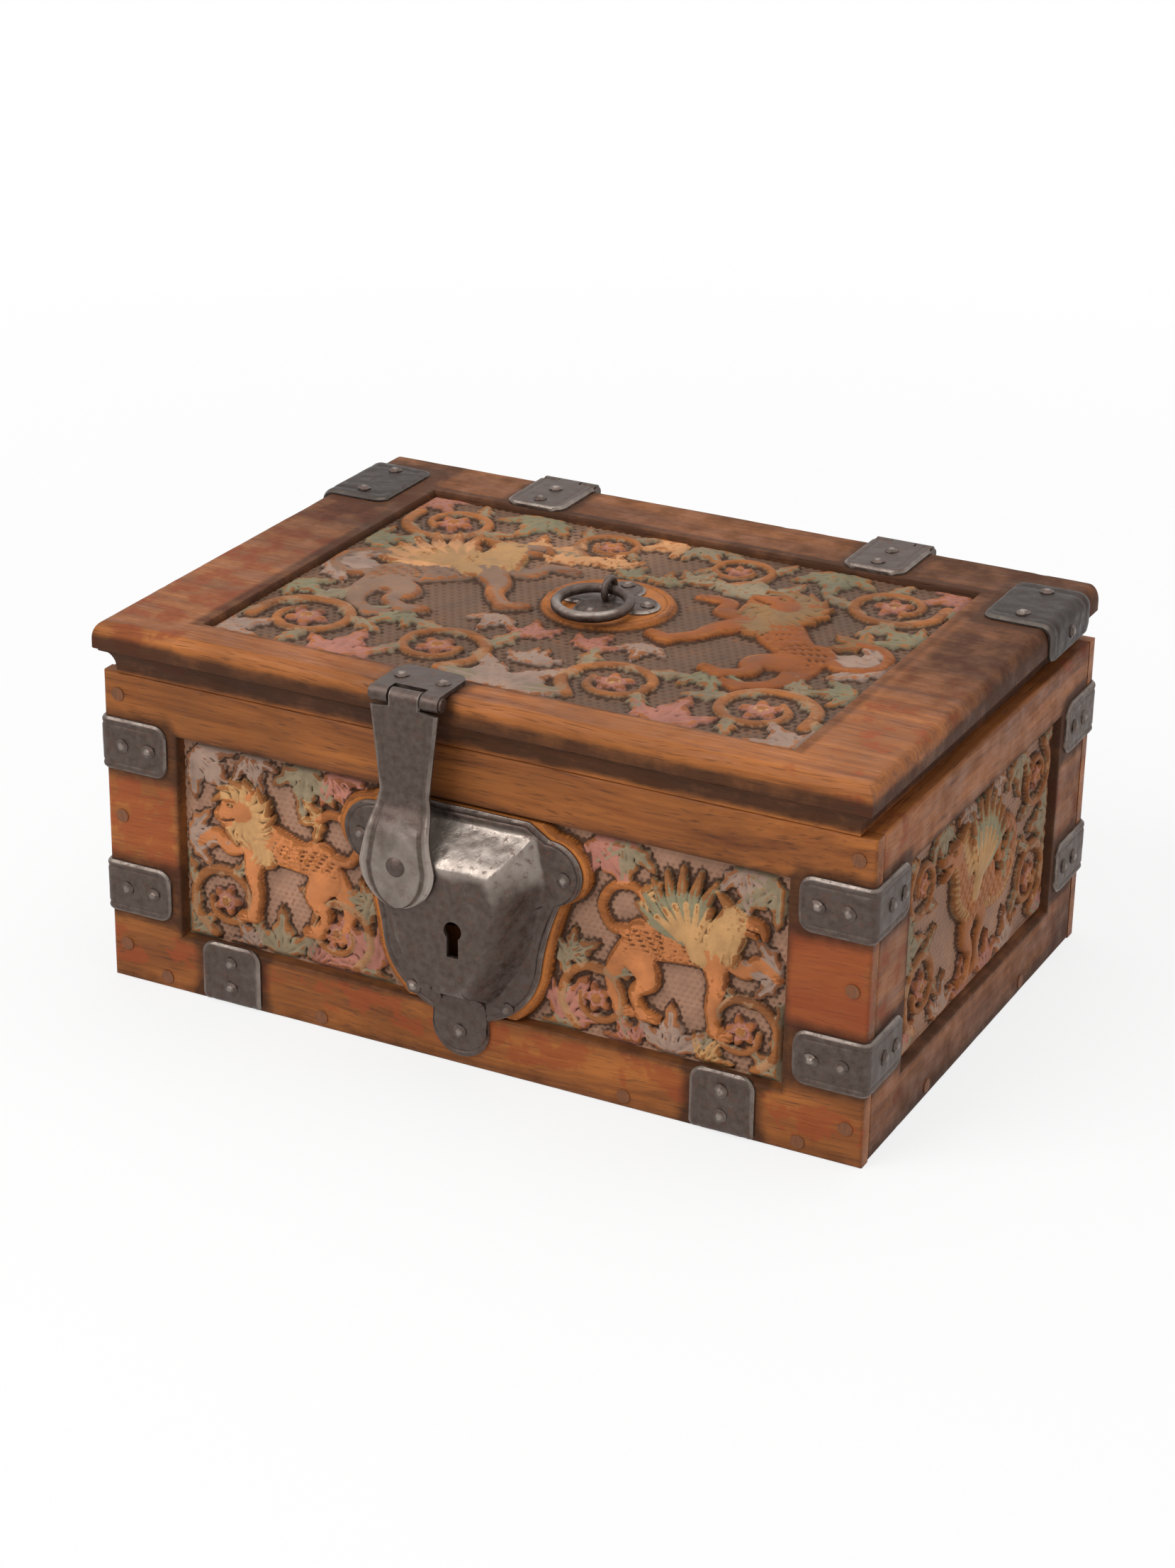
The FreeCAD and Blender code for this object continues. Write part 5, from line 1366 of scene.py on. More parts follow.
# Wrought iron
END_STATIONS = np.array([0, 0.12, 0.3, 0.6, 1.0, 1.6, 2.4, 3.4, 4.4, 5.2])
HALF_ACROSS = np.array([0, 0.2, 0.4, 0.56, 0.63, 0.68, 0.72, 0.76, 0.81, 0.88, 0.93, 0.97, 0.99, 1.0])
ACROSS = np.concatenate([-HALF_ACROSS[:0:-1], HALF_ACROSS])
STRAP_STEP = 0.9
STRAP_SINK = 0.3
FAR_END = 99.0
EDGE_LINE = 0.72
LINE_DEPTH = 0.3
HAMMER_MARK = 5.5
HAMMERED_TO = 0.97
IRON_CREASE = 34.0
CORNER_BEND = 1.6
LID_IRON_BEND = 3.4
LID_TARNISH = 0.55
HINGE_COVER = 0.35
HINGE_MARGIN = 1.2
KNUCKLE_GAP = 0.6
# First seed of the marks on each kind of iron
SEEDS = {"corner": 40, "base": 48, "lid_iron": 60, "hinge": 64, "lock": 71, "hasp": 81, "rosette": 91,
         "ring": 93}


def iron_piece(name, skin, rubbed_and_highlight, body, stands_for=(), finish=("wrought_iron",), crease=IRON_CREASE):
    """Piece of wrought iron, with the places that are rubbed bright and, on the lock and the hasp, a painted
    highlight.
    """
    mesh = painted_mesh(name, skin, {"rubbed_and_highlight": np.clip(rubbed_and_highlight, 0, 1)})
    finished(mesh, body, iron_finish(*finish), stands_for, crease)


def strap_stations(length):
    """Distances along a strap, closer at its two ends."""
    middle = np.linspace(END_STATIONS[-1], length - END_STATIONS[-1], max(4, int(length / STRAP_STEP)))
    return np.concatenate([END_STATIONS[:-1], middle, length - END_STATIONS[-2::-1]])


def hammered(spots, size, seed, level=0.3):
    """Depth of the hammer's marks: noise above a level."""
    return bpy.context.scene.casket_iron.hammer * np.clip(layered(spots, size, seed) + level, 0, 1)


def forged_strap(place, out, across, half, s, seed, thick=STRAP, last_round=True):
    """Closed skin of a strap: its width and its bevelled, hammered face, with a line cut along each edge.

    Its ends are rounded at their corners, the last one only if wished.
    """
    end = np.minimum(s, s[-1] - s if last_round else FAR_END)
    corner = min(STRAP_ROUND, 0.7 * half)
    drawn = half - corner + np.sqrt(np.clip(corner ** 2 - np.clip(corner - end, 0, corner) ** 2, 0, None))
    v = np.abs(ACROSS)[None, :]
    flat = place[:, None, :] + np.array(across, dtype=float) * (ACROSS * drawn[:, None])[..., None]
    end = end[:, None]
    bevel = (1 - 0.55 * eased(v, 0.90, 1.0)) * (1 - 0.5 * (1 - eased(end, 0, 0.9)))
    line = LINE_DEPTH * bell(v, EDGE_LINE, 0.045) * eased(end, 2.4, 4.0)
    rise = thick * bevel - line - hammered(flat, HAMMER_MARK, seed) * (v < HAMMERED_TO)
    front = flat + out[:, None, :] * rise[..., None]
    back = flat - STRAP_SINK * out[:, None, :]
    rubbed_and_highlight = 0.5 * np.maximum(eased(v, 0.84, 0.95), 1 - eased(end, 0.3, 1.6)) - 0.6 * (line > 0.1)
    return slab(front, back), two_sheets(rubbed_and_highlight)


def bent_strap(name, corner, first, second, runs, bend, across, half, seed, body="case",
               finish=("wrought_iron",)):
    """Strap in place of a node, bent square round a corner: in along the first direction and its run, round
    the bend, out along the second."""
    first, second = np.array(first, dtype=float), np.array(second, dtype=float)
    s = strap_stations(sum(runs) - 2 * bend + bend * math.pi / 2)
    past = s - runs[0] + bend
    angle = np.clip(past / bend, 0, math.pi / 2)[:, None]
    out = -np.cos(angle) * second - np.sin(angle) * first
    before = np.minimum(past, 0)[:, None]
    after = np.maximum(past - bend * math.pi / 2, 0)[:, None]
    place = np.array(corner) + bend * (first + second) + bend * out - before * first + after * second
    iron_piece(name + "_forged", *forged_strap(place, out, across, half, s, seed), body, (name,), finish)


class CASKET_OT_straps(bpy.types.Operator):
    """Corner straps and base straps, hammered, bevelled and lined along their edges"""

    bl_idname = "casket.straps"
    bl_label = "Straps of the box"

    def execute(self, context):
        heights = zip(("lower", "upper"), CORNER_STRAP_HEIGHTS)
        corners = itertools.product(SIDES, ENDS, heights)
        for seed, ((depth, side), (length, end), (height, z)) in enumerate(corners, SEEDS["corner"]):
            bent_strap(f"corner_strap_{depth}_{length}_{height}", (end * HALF_LENGTH, side * HALF_DEPTH, z),
                       (-end, 0, 0), (0, -side, 0), (CORNER_FRONT_LEG, CORNER_END_LEG), CORNER_BEND,
                       (0, 0, 1), CORNER_STRAP_TALL / 2, seed)
        for seed, ((depth, side), (length, end)) in enumerate(itertools.product(SIDES, ENDS), SEEDS["base"]):
            name = f"base_strap_{depth}_{length}"
            low, high = span(name)
            bent_strap(name, (end * BASE_STRAP_X, side * HALF_DEPTH, STRAP), (0, 0, 1), (0, -side, 0),
                       (high[2] - STRAP, high[1] - low[1] - STRAP), CORNER_BEND, (1, 0, 0),
                       BASE_STRAP_WIDE / 2, seed)
        return {"FINISHED"}


class CASKET_OT_lid_irons(bpy.types.Operator):
    """Irons bent over the back corners of the lid"""

    bl_idname = "casket.lid_irons"
    bl_label = "Irons of the lid"

    def execute(self, context):
        for seed, (length, end) in enumerate(ENDS, SEEDS["lid_iron"]):
            name = f"lid_corner_iron_{length}"
            low, high = span(name)
            bent_strap(name, (end * HALF_LENGTH, (low[1] + high[1]) / 2, LID_TOP), (-end, 0, 0), (0, 0, -1),
                       (high[0] - low[0] - STRAP, high[2] - low[2] - STRAP), LID_IRON_BEND, (0, 1, 0),
                       (high[1] - low[1]) / 2, seed, "lid", ("lid_iron", LID_TARNISH))
        return {"FINISHED"}


class CASKET_OT_hinge_straps(bpy.types.Operator):
    """Hammered, bevelled faces over the flat leaves of the hinges"""

    bl_idname = "casket.hinge_straps"
    bl_label = "Straps of the hinges"

    def execute(self, context):
        leaves = (("back", "case"), ("lid", "lid"))
        faces = itertools.product(ENDS, leaves)
        for seed, ((length, _), (leaf, body)) in enumerate(faces, SEEDS["hinge"]):
            low, high = span(f"hinge_{leaf}_leaf_{length}")
            barrel = (high[1] - HALF_DEPTH) / 2
            axis, end = (2, high[2] - 2 * barrel) if leaf == "back" else (1, HALF_DEPTH)
            start = low[axis] - HINGE_MARGIN
            s = strap_stations(end - KNUCKLE_GAP - start)
            place = np.tile([(low[0] + high[0]) / 2, HALF_DEPTH, LID_TOP], (len(s), 1))
            place[:, axis] = start + s
            out = np.zeros_like(place)
            out[:, 3 - axis] = 1
            strap = forged_strap(place, out, (1, 0, 0), (high[0] - low[0]) / 2 + HINGE_MARGIN, s, seed,
                                 STRAP + HINGE_COVER, False)
            iron_piece(f"hinge_{leaf}_strap_{length}_forged", *strap, body)
        return {"FINISHED"}


# Lock
LOCK_SHOULDERS = ((26.0, 19.0), (34.0, 14.0))
LOCK_EAR = ((46.0, 4.0), (38.0, -9.0))
LOCK_WAIST = ((33.5, -22.0), (31.0, -36.0))
LOCK_FOOT = ((25.0, -50.0), (10.0, -60.0))
LOCK_TIP = (0.0, -76.0)
DOME_FOOT = ((0, 16.0), (30.0, 16.0), (34.0, -2.0), (29.0, -30.0), (14.0, -54.0), (0, -54.0))
DOME_CROWN = ((0, 2.0), (18.0, 2.0), (21.0, -8.0), (17.0, -28.0), (8.0, -44.0), (0, -44.0))
LOCK_ROUNDS = 288
LOCK_RINGS = 60
LOCK_EDGE_RINGS = 14
LOCK_THICK = 1.5
LOCK_LEAST = 0.3
LOCK_DENTS = 1.6
LOCK_MARK = 7.0
HOLLOW_FROM = 1.6
KEYHOLE_X = 2.0
KEYHOLE_RADIUS = 3.4
KEYHOLE_SLOT = 10.0
KEYHOLE_SLOT_HALF = 2.2
KEYHOLE_RING = 7.2
KEYHOLE_RING_DEPTH = 0.135
STAPLE_HALF = 1.8
STAPLE_ROOM = 0.8
SLOT_FRONT = 4.0
SLOT_BELOW = 1.5
SLOT_BACK = 0.4
ARC_STEPS = 24


def arc_through(start, middle, end):
    """Points of the circle's arc through three points."""
    a, b, c = (complex(*point) for point in (start, middle, end))
    w = (c - a) / (b - a)
    centre = a + (b - a) * (w - abs(w) ** 2) / (2j * w.imag)
    turn = np.angle((b - centre) / (a - centre)), np.angle((c - centre) / (b - centre))
    share = np.linspace(0, 1, ARC_STEPS)
    angle = np.angle(a - centre) + np.concatenate([turn[0] * share[:-1], turn[0] + turn[1] * share])
    spot = centre + abs(a - centre) * np.exp(1j * angle)
    return np.column_stack([spot.real, spot.imag])


def straight_through(*points):
    """Points spread evenly along each straight run between the given ones."""
    points = np.array(points)
    share = np.linspace(0, 1, ARC_STEPS)[None, :, None]
    return (points[:-1, None] * (1 - share) + points[1:, None] * share).reshape(-1, 2)


def reach_about_middle(half_outline):
    """Reach of a left and right alike outline in each direction about the lock's middle."""
    outline = np.concatenate([half_outline, half_outline[::-1] * (-1, 1)])
    u, v = outline[:, 0], outline[:, 1] - LOCK_MIDDLE
    angle = np.arctan2(v, u)
    order = np.argsort(angle)
    return lambda wanted: np.interp(wanted, angle[order], np.hypot(u, v)[order], period=2 * math.pi)


shield_reach = reach_about_middle(np.concatenate([
    straight_through((0, LOCK_SHOULDERS[0][1]), *LOCK_SHOULDERS),
    arc_through(LOCK_SHOULDERS[1], *LOCK_EAR),
    arc_through(LOCK_EAR[1], *LOCK_WAIST),
    arc_through(LOCK_WAIST[1], *LOCK_FOOT),
    arc_through(LOCK_FOOT[1], LOCK_TIP, (-LOCK_FOOT[1][0], LOCK_FOOT[1][1]))[:ARC_STEPS],
]))
dome_foot_reach = reach_about_middle(straight_through(*DOME_FOOT))
dome_crown_reach = reach_about_middle(straight_through(*DOME_CROWN))


def keyhole_reach(angle):
    """Reach of the keyhole about its own round, with the slot below it."""
    down = np.cos(angle + math.pi / 2)
    side = np.abs(np.sin(angle + math.pi / 2))
    slot = np.minimum(KEYHOLE_SLOT_HALF / np.maximum(side, 1e-6), KEYHOLE_SLOT / np.maximum(down, 1e-6))
    return np.where(down > 0, np.maximum(KEYHOLE_RADIUS, slot), KEYHOLE_RADIUS)


def lock_skin():
    """The lock case: rows turn about its middle, columns go out from the keyhole to the shield's edge.

    Its height above the board is a dome from its crown down to its foot, then the flange with a line
    round it.
    """
    angle = np.linspace(-math.pi, math.pi, LOCK_ROUNDS, endpoint=False)[:, None]
    share = np.concatenate([np.linspace(0, 0.9, LOCK_RINGS), np.linspace(0.91, 1, LOCK_EDGE_RINGS)])[None, :]
    hole_u = KEYHOLE_X - LOCK_X + keyhole_reach(angle) * np.cos(angle)
    hole_v = keyhole_reach(angle) * np.sin(angle)
    u = hole_u + share * (shield_reach(angle) * np.cos(angle) - hole_u)
    v = hole_v + share * (shield_reach(angle) * np.sin(angle) - hole_v)
    reach = np.hypot(u, v)
    turn = np.arctan2(v, u)
    crown, foot, edge = dome_crown_reach(turn), dome_foot_reach(turn), shield_reach(turn) - reach
    fall = np.clip((reach - crown) / (foot - crown), 0, 1)
    dome = DOME_RISE * (1 - 0.45 * fall - 0.55 * eased(fall, 0, 1))
    flange = LOCK_FLANGE * (1 - 0.55 * (1 - eased(edge, 0, 0.9))) - 0.35 * bell(edge, 2.2, 0.4)
    height = np.where(fall < 1, np.maximum(dome, flange), flange)
    x = LOCK_X + u
    z = LOCK_Z + LOCK_MIDDLE + v
    dents = LOCK_DENTS * hammered(np.stack([x, height, z], axis=-1), LOCK_MARK, SEEDS["lock"], 0.2)
    ring = KEYHOLE_RING_DEPTH * bell(np.hypot(x - KEYHOLE_X, v), KEYHOLE_RING, 0.8)
    front = np.stack([x, -HALF_DEPTH - np.maximum(height - dents - ring, LOCK_LEAST), z], axis=-1)
    inner = np.where(height > LOCK_FLANGE + HOLLOW_FROM, height - LOCK_THICK, -STRAP_SINK)
    back = np.stack([x, -HALF_DEPTH - inner, z], axis=-1)
    # Painted highlight: the dome's upper slope marked bright as if it caught the lamps; the flange's edge and
    # the crown's rim rubbed bright by wear.
    upper = eased(v, 12, 26) * eased(reach, 0.7 * crown, crown) * (1 - eased(reach, foot - 3, foot))
    rubbed_and_highlight = 0.85 * upper + 0.4 * (1 - eased(edge, 0.3, 1.3)) + 0.2 * bell(reach, crown, 2.0)
    return round_slab(front, back, True), two_sheets(rubbed_and_highlight)


def cut_box(mesh, low, high):
    """The mesh with a straight opening cut through it."""
    corners = np.array(list(itertools.product(*zip(low, high))))
    faces = np.array([(0, 1, 3, 2), (4, 6, 7, 5), (0, 4, 5, 1), (2, 3, 7, 6), (0, 2, 6, 4), (1, 5, 7, 3)])
    tool = bpy.data.objects.new("opening", painted_mesh("opening", (corners, faces), {}))
    block = bpy.data.objects.new("block", mesh)
    for thing in (tool, block):
        bpy.context.scene.collection.objects.link(thing)
    cut = block.modifiers.new("opening", "BOOLEAN")
    cut.operation = "DIFFERENCE"
    cut.solver = "EXACT"
    cut.object = tool
    graph = bpy.context.evaluated_depsgraph_get()
    result = bpy.data.meshes.new_from_object(block.evaluated_get(graph))
    name = mesh.name
    for thing in (tool, block):
        data = thing.data
        bpy.data.objects.remove(thing)
        bpy.data.meshes.remove(data)
    result.name = name
    return result


class CASKET_OT_lock(bpy.types.Operator):
    """Domed lock case with its keyhole and the slot for the hasp's staple"""

    bl_idname = "casket.lock"
    bl_label = "Lock"

    def execute(self, context):
        skin, rubbed_and_highlight = lock_skin()
        mesh = painted_mesh("lock_case_forged", skin, {"rubbed_and_highlight": np.clip(rubbed_and_highlight, 0, 1)})
        staple_low, staple_high = span("hasp_staple")
        middle = (staple_low[0] + staple_high[0]) / 2
        half = STAPLE_HALF + STAPLE_ROOM
        low = (middle - half, LOCK_LOW[1] - SLOT_FRONT, staple_low[2] - SLOT_BELOW)
        high = (middle + half, -HALF_DEPTH - SLOT_BACK, LOCK_Z + DOME_FOOT[0][1])
        mesh = cut_box(mesh, low, high)
        finished(mesh, "case", iron_finish("lock_iron"), ("lock_case",), IRON_CREASE)
        return {"FINISHED"}


# Hasp
HASP_BARREL = 3.0
HASP_TURNS = 20
HASP_FALL = 74
HASP_EYE_HALF = 6.0
HASP_TIP_HALF = 0.4
HASP_CLEAR = 0.5
HASP_STEPS = 110
HASP_BLUR = 7
HASP_BEND = ((0, 3.4, 34, 39, 47, 52, 74), (0, 0, 0, 0.6, 5.0, 5.7, 5.7))
HASP_HALF = ((0, 3.35, 3.45, 34, 52, 58.8), (6, 6, 13, 9.5, 13.0, 14.5))
HASP_LEAF_FROM = 58.8
HASP_LEAF_LONG = 15.21


def hasp_line():
    """Inner line of the hasp from its rolled eye down to its tip, as places in y and z, with its half width.

    Below the eye it falls straight, then bends out over the lock's dome; the bend is averaged over
    neighbouring places.
    """
    _, axis_y, axis_z = np.mean(span("hasp_pin"), axis=0)
    inner = HASP_BARREL - STRAP
    angle = np.linspace(math.radians(-95), math.pi, HASP_TURNS)
    rolled = np.column_stack([axis_y + inner * np.cos(angle), axis_z + inner * np.sin(angle)])
    fall = np.linspace(0.3, HASP_FALL, HASP_STEPS)
    bent = np.pad(np.interp(fall, *HASP_BEND), HASP_BLUR // 2, mode="edge")
    bent = np.convolve(bent, np.ones(HASP_BLUR) / HASP_BLUR, mode="valid") / HASP_BEND[1][-1]
    reach = -HALF_DEPTH - DOME_RISE - HASP_CLEAR - (axis_y - inner)
    down = np.column_stack([axis_y - inner + bent * reach, axis_z - fall])
    leaf = np.sqrt(np.clip(1 - (np.clip(fall - HASP_LEAF_FROM, 0, None) / HASP_LEAF_LONG) ** 2, 0, 1))
    half = np.maximum(np.interp(fall, *HASP_HALF) * leaf, HASP_TIP_HALF)
    return np.concatenate([rolled, down]), np.concatenate([np.full(HASP_TURNS, HASP_EYE_HALF), half])


class CASKET_OT_hasp(bpy.types.Operator):
    """Hasp with its rolled eye, waist and rounded leaf"""

    bl_idname = "casket.hasp"
    bl_label = "Hasp"

    def execute(self, context):
        line, half = hasp_line()
        run = np.gradient(line, axis=0)
        run /= np.linalg.norm(run, axis=1, keepdims=True)
        out = np.column_stack([np.zeros(len(line)), run[:, 1], -run[:, 0]])
        place = np.column_stack([np.full(len(line), HASP_X), line])
        flat = place[:, None, :] + np.array([1.0, 0, 0]) * (ACROSS * half[:, None])[..., None]
        v = np.abs(ACROSS)[None, :]
        below = np.arange(len(line))[:, None] > HASP_TURNS + 8
        groove = LINE_DEPTH * bell(v, EDGE_LINE, 0.05) * below
        dents = hammered(flat, HAMMER_MARK, SEEDS["hasp"]) * (v < HAMMERED_TO)
        rise = STRAP * (1 - 0.5 * eased(v, 0.92, 1.0)) - groove - dents
        front = flat + out[:, None, :] * rise[..., None]
        # Painted highlight: the lower end, below 102 mm, marked bright where it bends out to face the lamps;
        # the edges rubbed bright by wear.
        rubbed_and_highlight = 0.5 * eased(v, 0.84, 0.95) - 0.5 * (groove > 0.1) + 0.55 * (1 - eased(flat[..., 2], 84, 102))
        iron_piece("hasp_forged", slab(front, flat), two_sheets(rubbed_and_highlight), "hasp", ("hasp",))
        return {"FINISHED"}


# Handle
ROSETTE_CORE = 12.0
ROSETTE_LOBE = 8.0
ROSETTE_LOBE_PLACE = 11.5
ROSETTE_ROUNDS = 144
RING_RADIUS = 13.0
RING_BAR = 2.0
RING_TILT = math.radians(3.4)
RING_ROUNDS = 96
BAR_ROUNDS = 24
EYE_TOP = 5.2
RING_CREASE = 50.0


def turns(count):
    """Even angles round a circle."""
    return np.linspace(0, 2 * math.pi, count, endpoint=False)


def rosette_reach(angle):
    """Edge of the four-lobed plate: the farther of its core and the nearest lobe's circle."""
    quarter = (angle + math.pi / 4) % (math.pi / 2) - math.pi / 4
    across = ROSETTE_LOBE_PLACE * np.sin(quarter)
    lobe = ROSETTE_LOBE_PLACE * np.cos(quarter) + np.sqrt(np.clip(ROSETTE_LOBE ** 2 - across ** 2, 0, None))
    return np.where(np.abs(across) < ROSETTE_LOBE, np.maximum(lobe, ROSETTE_CORE), ROSETTE_CORE)


class CASKET_OT_handle(bpy.types.Operator):
    """Rosette and ring of the handle"""

    bl_idname = "casket.handle"
    bl_label = "Handle"

    def execute(self, context):
        self.rosette()
        self.ring()
        return {"FINISHED"}

    def rosette(self):
        """Lobed plate with a bevelled edge, a line inside it and a vein down each lobe."""
        low, high = span("handle_rosette")
        angle = turns(ROSETTE_ROUNDS)[:, None]
        share = np.concatenate([np.linspace(0, 0.86, 22), np.linspace(0.88, 1, 8)])[None, :]
        reach = share * rosette_reach(angle)
        x = reach * np.cos(angle)
        y = reach * np.sin(angle)
        edge = rosette_reach(angle) * (1 - share)
        thick = (high[2] - low[2]) * (1 - 0.6 * (1 - eased(edge, 0, 1.1))) - 0.35 * bell(edge, 2.0, 0.45)
        thick -= 0.25 * bell(np.minimum(np.abs(x), np.abs(y)), 0, 0.5) * eased(reach, 6, 9)
        spots = np.stack([x, y, np.full_like(x, low[2])], axis=-1)
        thick = np.maximum(thick - 0.6 * hammered(spots, 4, SEEDS["rosette"], 0), 0.15)
        front = np.stack([x, y, low[2] + thick], axis=-1)
        back = np.stack([x, y, np.full_like(x, low[2] - 0.1)], axis=-1)
        rubbed_and_highlight = two_sheets(0.8 * (1 - eased(edge, 0.4, 1.6)))
        iron_piece("handle_rosette_forged", round_slab(front, back), rubbed_and_highlight, "lid", ("handle_rosette",))

    def ring(self):
        """Forged ring: a bar of eight soft flats round a circle, thinner where it passes the eye."""
        turn, roll = np.meshgrid(turns(RING_ROUNDS), turns(BAR_ROUNDS), indexing="ij")
        flats = np.cos((roll + math.pi / 8) % (math.pi / 4) - math.pi / 8)
        bar = RING_BAR * (0.95 / flats) * (1 - 0.12 * eased(np.sin(turn), 0.6, 1.0))
        spots = np.stack([30 * np.cos(turn), 30 * np.sin(turn), 8 * np.cos(roll)], axis=-1)
        bar = np.minimum(bar, RING_BAR) * (1 - 0.05 * np.clip(noise(spots, 5, SEEDS["ring"]), 0, 1))
        reach = RING_RADIUS + bar * np.cos(roll)
        y = reach * np.sin(turn) - RING_RADIUS
        z = bar * np.sin(roll)
        tilt_y, tilt_z = math.cos(RING_TILT), math.sin(RING_TILT)
        eye_z = span("handle_eye")[1][2] - EYE_TOP
        points = np.stack([reach * np.cos(turn), y * tilt_y - z * tilt_z,
                           eye_z + y * tilt_z + z * tilt_y], axis=-1)
        skin = points.reshape(-1, 3), sheet_faces(RING_ROUNDS, BAR_ROUNDS, True, True)
        rubbed_and_highlight = 0.75 * eased(np.sin(roll), 0.3, 0.9) * eased(-np.sin(turn), 0.0, 0.8)
        iron_piece("handle_ring_forged", skin, rubbed_and_highlight.ravel(), "handle", ("handle_ring",),
                   crease=RING_CREASE)


# Nails
NAIL_RADIUS = 2.6
NAIL_HEIGHT = 1.5
NAIL_ROUNDS = 16
NAIL_RINGS = np.array([0, 0.3, 0.62, 0.9, 1.0, 1.0, 0.0])
NAIL_SINK = 0.35
NAIL_PEAK = 1.08
NAIL_FLAT = 0.86
NAIL_EDGE = 0.25
NAIL_CREASE = 20.0
CORNER_NAILS = ((8.0, 19.0), (12.0, 22.0))
BASE_NAILS = (7.5, 17.0)
BACK_NAILS = (9.0, 27.0, 45.0)
LID_LEAF_NAILS = (9.0, 22.0)
LOCK_NAILS = ((0, -66.0), (-39.5, 1.0), (39.5, 1.0), (-18.5, -53.0), (18.5, -53.0))
LID_IRON_NAILS = (13.0, 12.0, 6.5)
HASP_LEAF_NAILS = (8.0, 7.0)
ROSETTE_NAILS = 15.0


def rose_heads(seats):
    """Rose heads: over each seat a low pyramid of four hammered facets with a flat top.

    Along each ray the height falls with the largest cosine to a facet's direction.
    """
    spot = np.array([seat for seat, _ in seats])[:, None, None, :]
    out = np.array([direction for _, direction in seats], dtype=float)
    helper = np.where(np.abs(out[:, 2:]) > 0.5, [[1.0, 0, 0]], [[0, 0, 1.0]])
    side = np.cross(helper, out)
    over = np.cross(out, side)
    side, over, out = (axes[:, None, None, :] for axes in (side, over, out))
    count = len(seats)
    twist = lattice_value(np.round(spot[:, 0, 0] * 10).astype(np.int64), 5)[:, None, None] * math.pi / 2
    around = turns(NAIL_ROUNDS)[None, :, None]
    share = NAIL_RINGS[None, None, :]
    facet = np.cos((around + math.pi / 4) % (math.pi / 2) - math.pi / 4)
    height = np.clip(NAIL_HEIGHT * (NAIL_PEAK - share * facet), NAIL_EDGE, NAIL_FLAT * NAIL_HEIGHT)
    height = height * np.ones((count, 1, 1))
    height[..., -2:] = -NAIL_SINK
    uneven = 1 + 0.07 * np.cos(2 * around + 7 * twist) + 0.05 * np.cos(3 * around + 3 * twist)
    reach = NAIL_RADIUS * share * uneven
    angle = around + twist
    points = spot + (reach * np.cos(angle))[..., None] * side + (reach * np.sin(angle))[..., None] * over
    points = points + height[..., None] * out
    size = NAIL_ROUNDS * share.size
    faces = sheet_faces(NAIL_ROUNDS, share.size, True) + size * np.arange(count)[:, None, None]
    rubbed_and_highlight = np.broadcast_to(0.45 * (share < 0.5) + 0.15, height.shape)
    return (points.reshape(-1, 3), faces.reshape(-1, 4)), rubbed_and_highlight.ravel()


def corner_seats():
    """Nails of the corner straps, on the long sides and the ends."""
    for (_, side), (_, end), z in itertools.product(SIDES, ENDS, CORNER_STRAP_HEIGHTS):
        for reach in CORNER_NAILS[0]:
            yield (end * (HALF_LENGTH - reach), side * (HALF_DEPTH + STRAP), z), (0, side, 0)
        for reach in CORNER_NAILS[1]:
            yield (end * (HALF_LENGTH + STRAP), side * (HALF_DEPTH - reach), z), (end, 0, 0)


def lid_iron_seats():
    """Two nails on top of each lid iron and one on its end."""
    in_from_end, apart, down = LID_IRON_NAILS
    for name, end in ENDS:
        y = np.mean(span(f"lid_corner_iron_{name}"), axis=0)[1]
        for side in (-1, 1):
            yield (end * (HALF_LENGTH - in_from_end), y + side * apart, LID_TOP + STRAP), (0, 0, 1)
        yield (end * (HALF_LENGTH + STRAP), y, LID_TOP - down), (end, 0, 0)


class CASKET_OT_nails(bpy.types.Operator):
    """Hammered heads of the nails, by group"""

    bl_idname = "casket.nails"
    bl_label = "Nails"

    def execute(self, context):
        signs = (-1, 1)
        hinge_top = STRAP + HINGE_COVER
        apart, reach = HASP_LEAF_NAILS
        rosette_z = span("handle_rosette")[1][2]
        groups = {
            "corner_nails": ("case", corner_seats()),
            "base_strap_nails": ("case", [
                ((end * BASE_STRAP_X, side * (HALF_DEPTH + STRAP), z), (0, side, 0))
                for side, end, z in itertools.product(signs, signs, BASE_NAILS)]),
            "hinge_back_nails": ("case", [
                ((end * HINGE_X, HALF_DEPTH + hinge_top, RIM - down), (0, 1, 0))
                for end, down in itertools.product(signs, BACK_NAILS)]),
            "hinge_lid_nails": ("lid", [
                ((end * HINGE_X, LID_HIGH[1] - back, LID_TOP + hinge_top), (0, 0, 1))
                for end, back in itertools.product(signs, LID_LEAF_NAILS)]),
            "lock_nails": ("case", [
                ((LOCK_X + u, -HALF_DEPTH - LOCK_FLANGE, LOCK_Z + v), (0, -1, 0)) for u, v in LOCK_NAILS]),
            "lid_corner_nails": ("lid", lid_iron_seats()),
            "hasp_leaf_nails": ("lid", [
                ((HASP_X + side * apart, LID_LOW[1] + reach, LID_TOP + STRAP), (0, 0, 1)) for side in signs]),
            "handle_rosette_nails": ("lid", [
                ((*ray((0, 0), ROSETTE_NAILS, angle), rosette_z), (0, 0, 1)) for angle in turns(4)]),
        }
        for name, (body, seats) in groups.items():
            iron_piece(name + "_forged", *rose_heads(list(seats)), body, (name,), crease=NAIL_CREASE)
        return {"FINISHED"}


class CASKET_OT_fittings(bpy.types.Operator):
    """Finishes of the pieces that keep the frame's own shape"""

    bl_idname = "casket.fittings"
    bl_label = "Fittings"

    def execute(self, context):
        oak, pegs = oak_finish("oak_long"), peg_finish("peg_end_grain")
        wooden = {"base_board": oak, "lid_board": oak, "corner_pegs": pegs, "base_pegs": pegs}
        for name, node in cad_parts.items():
            node.data.materials.clear()
            node.data.materials.append(wooden.get(name) or iron_finish("wrought_iron"))
        return {"FINISHED"}


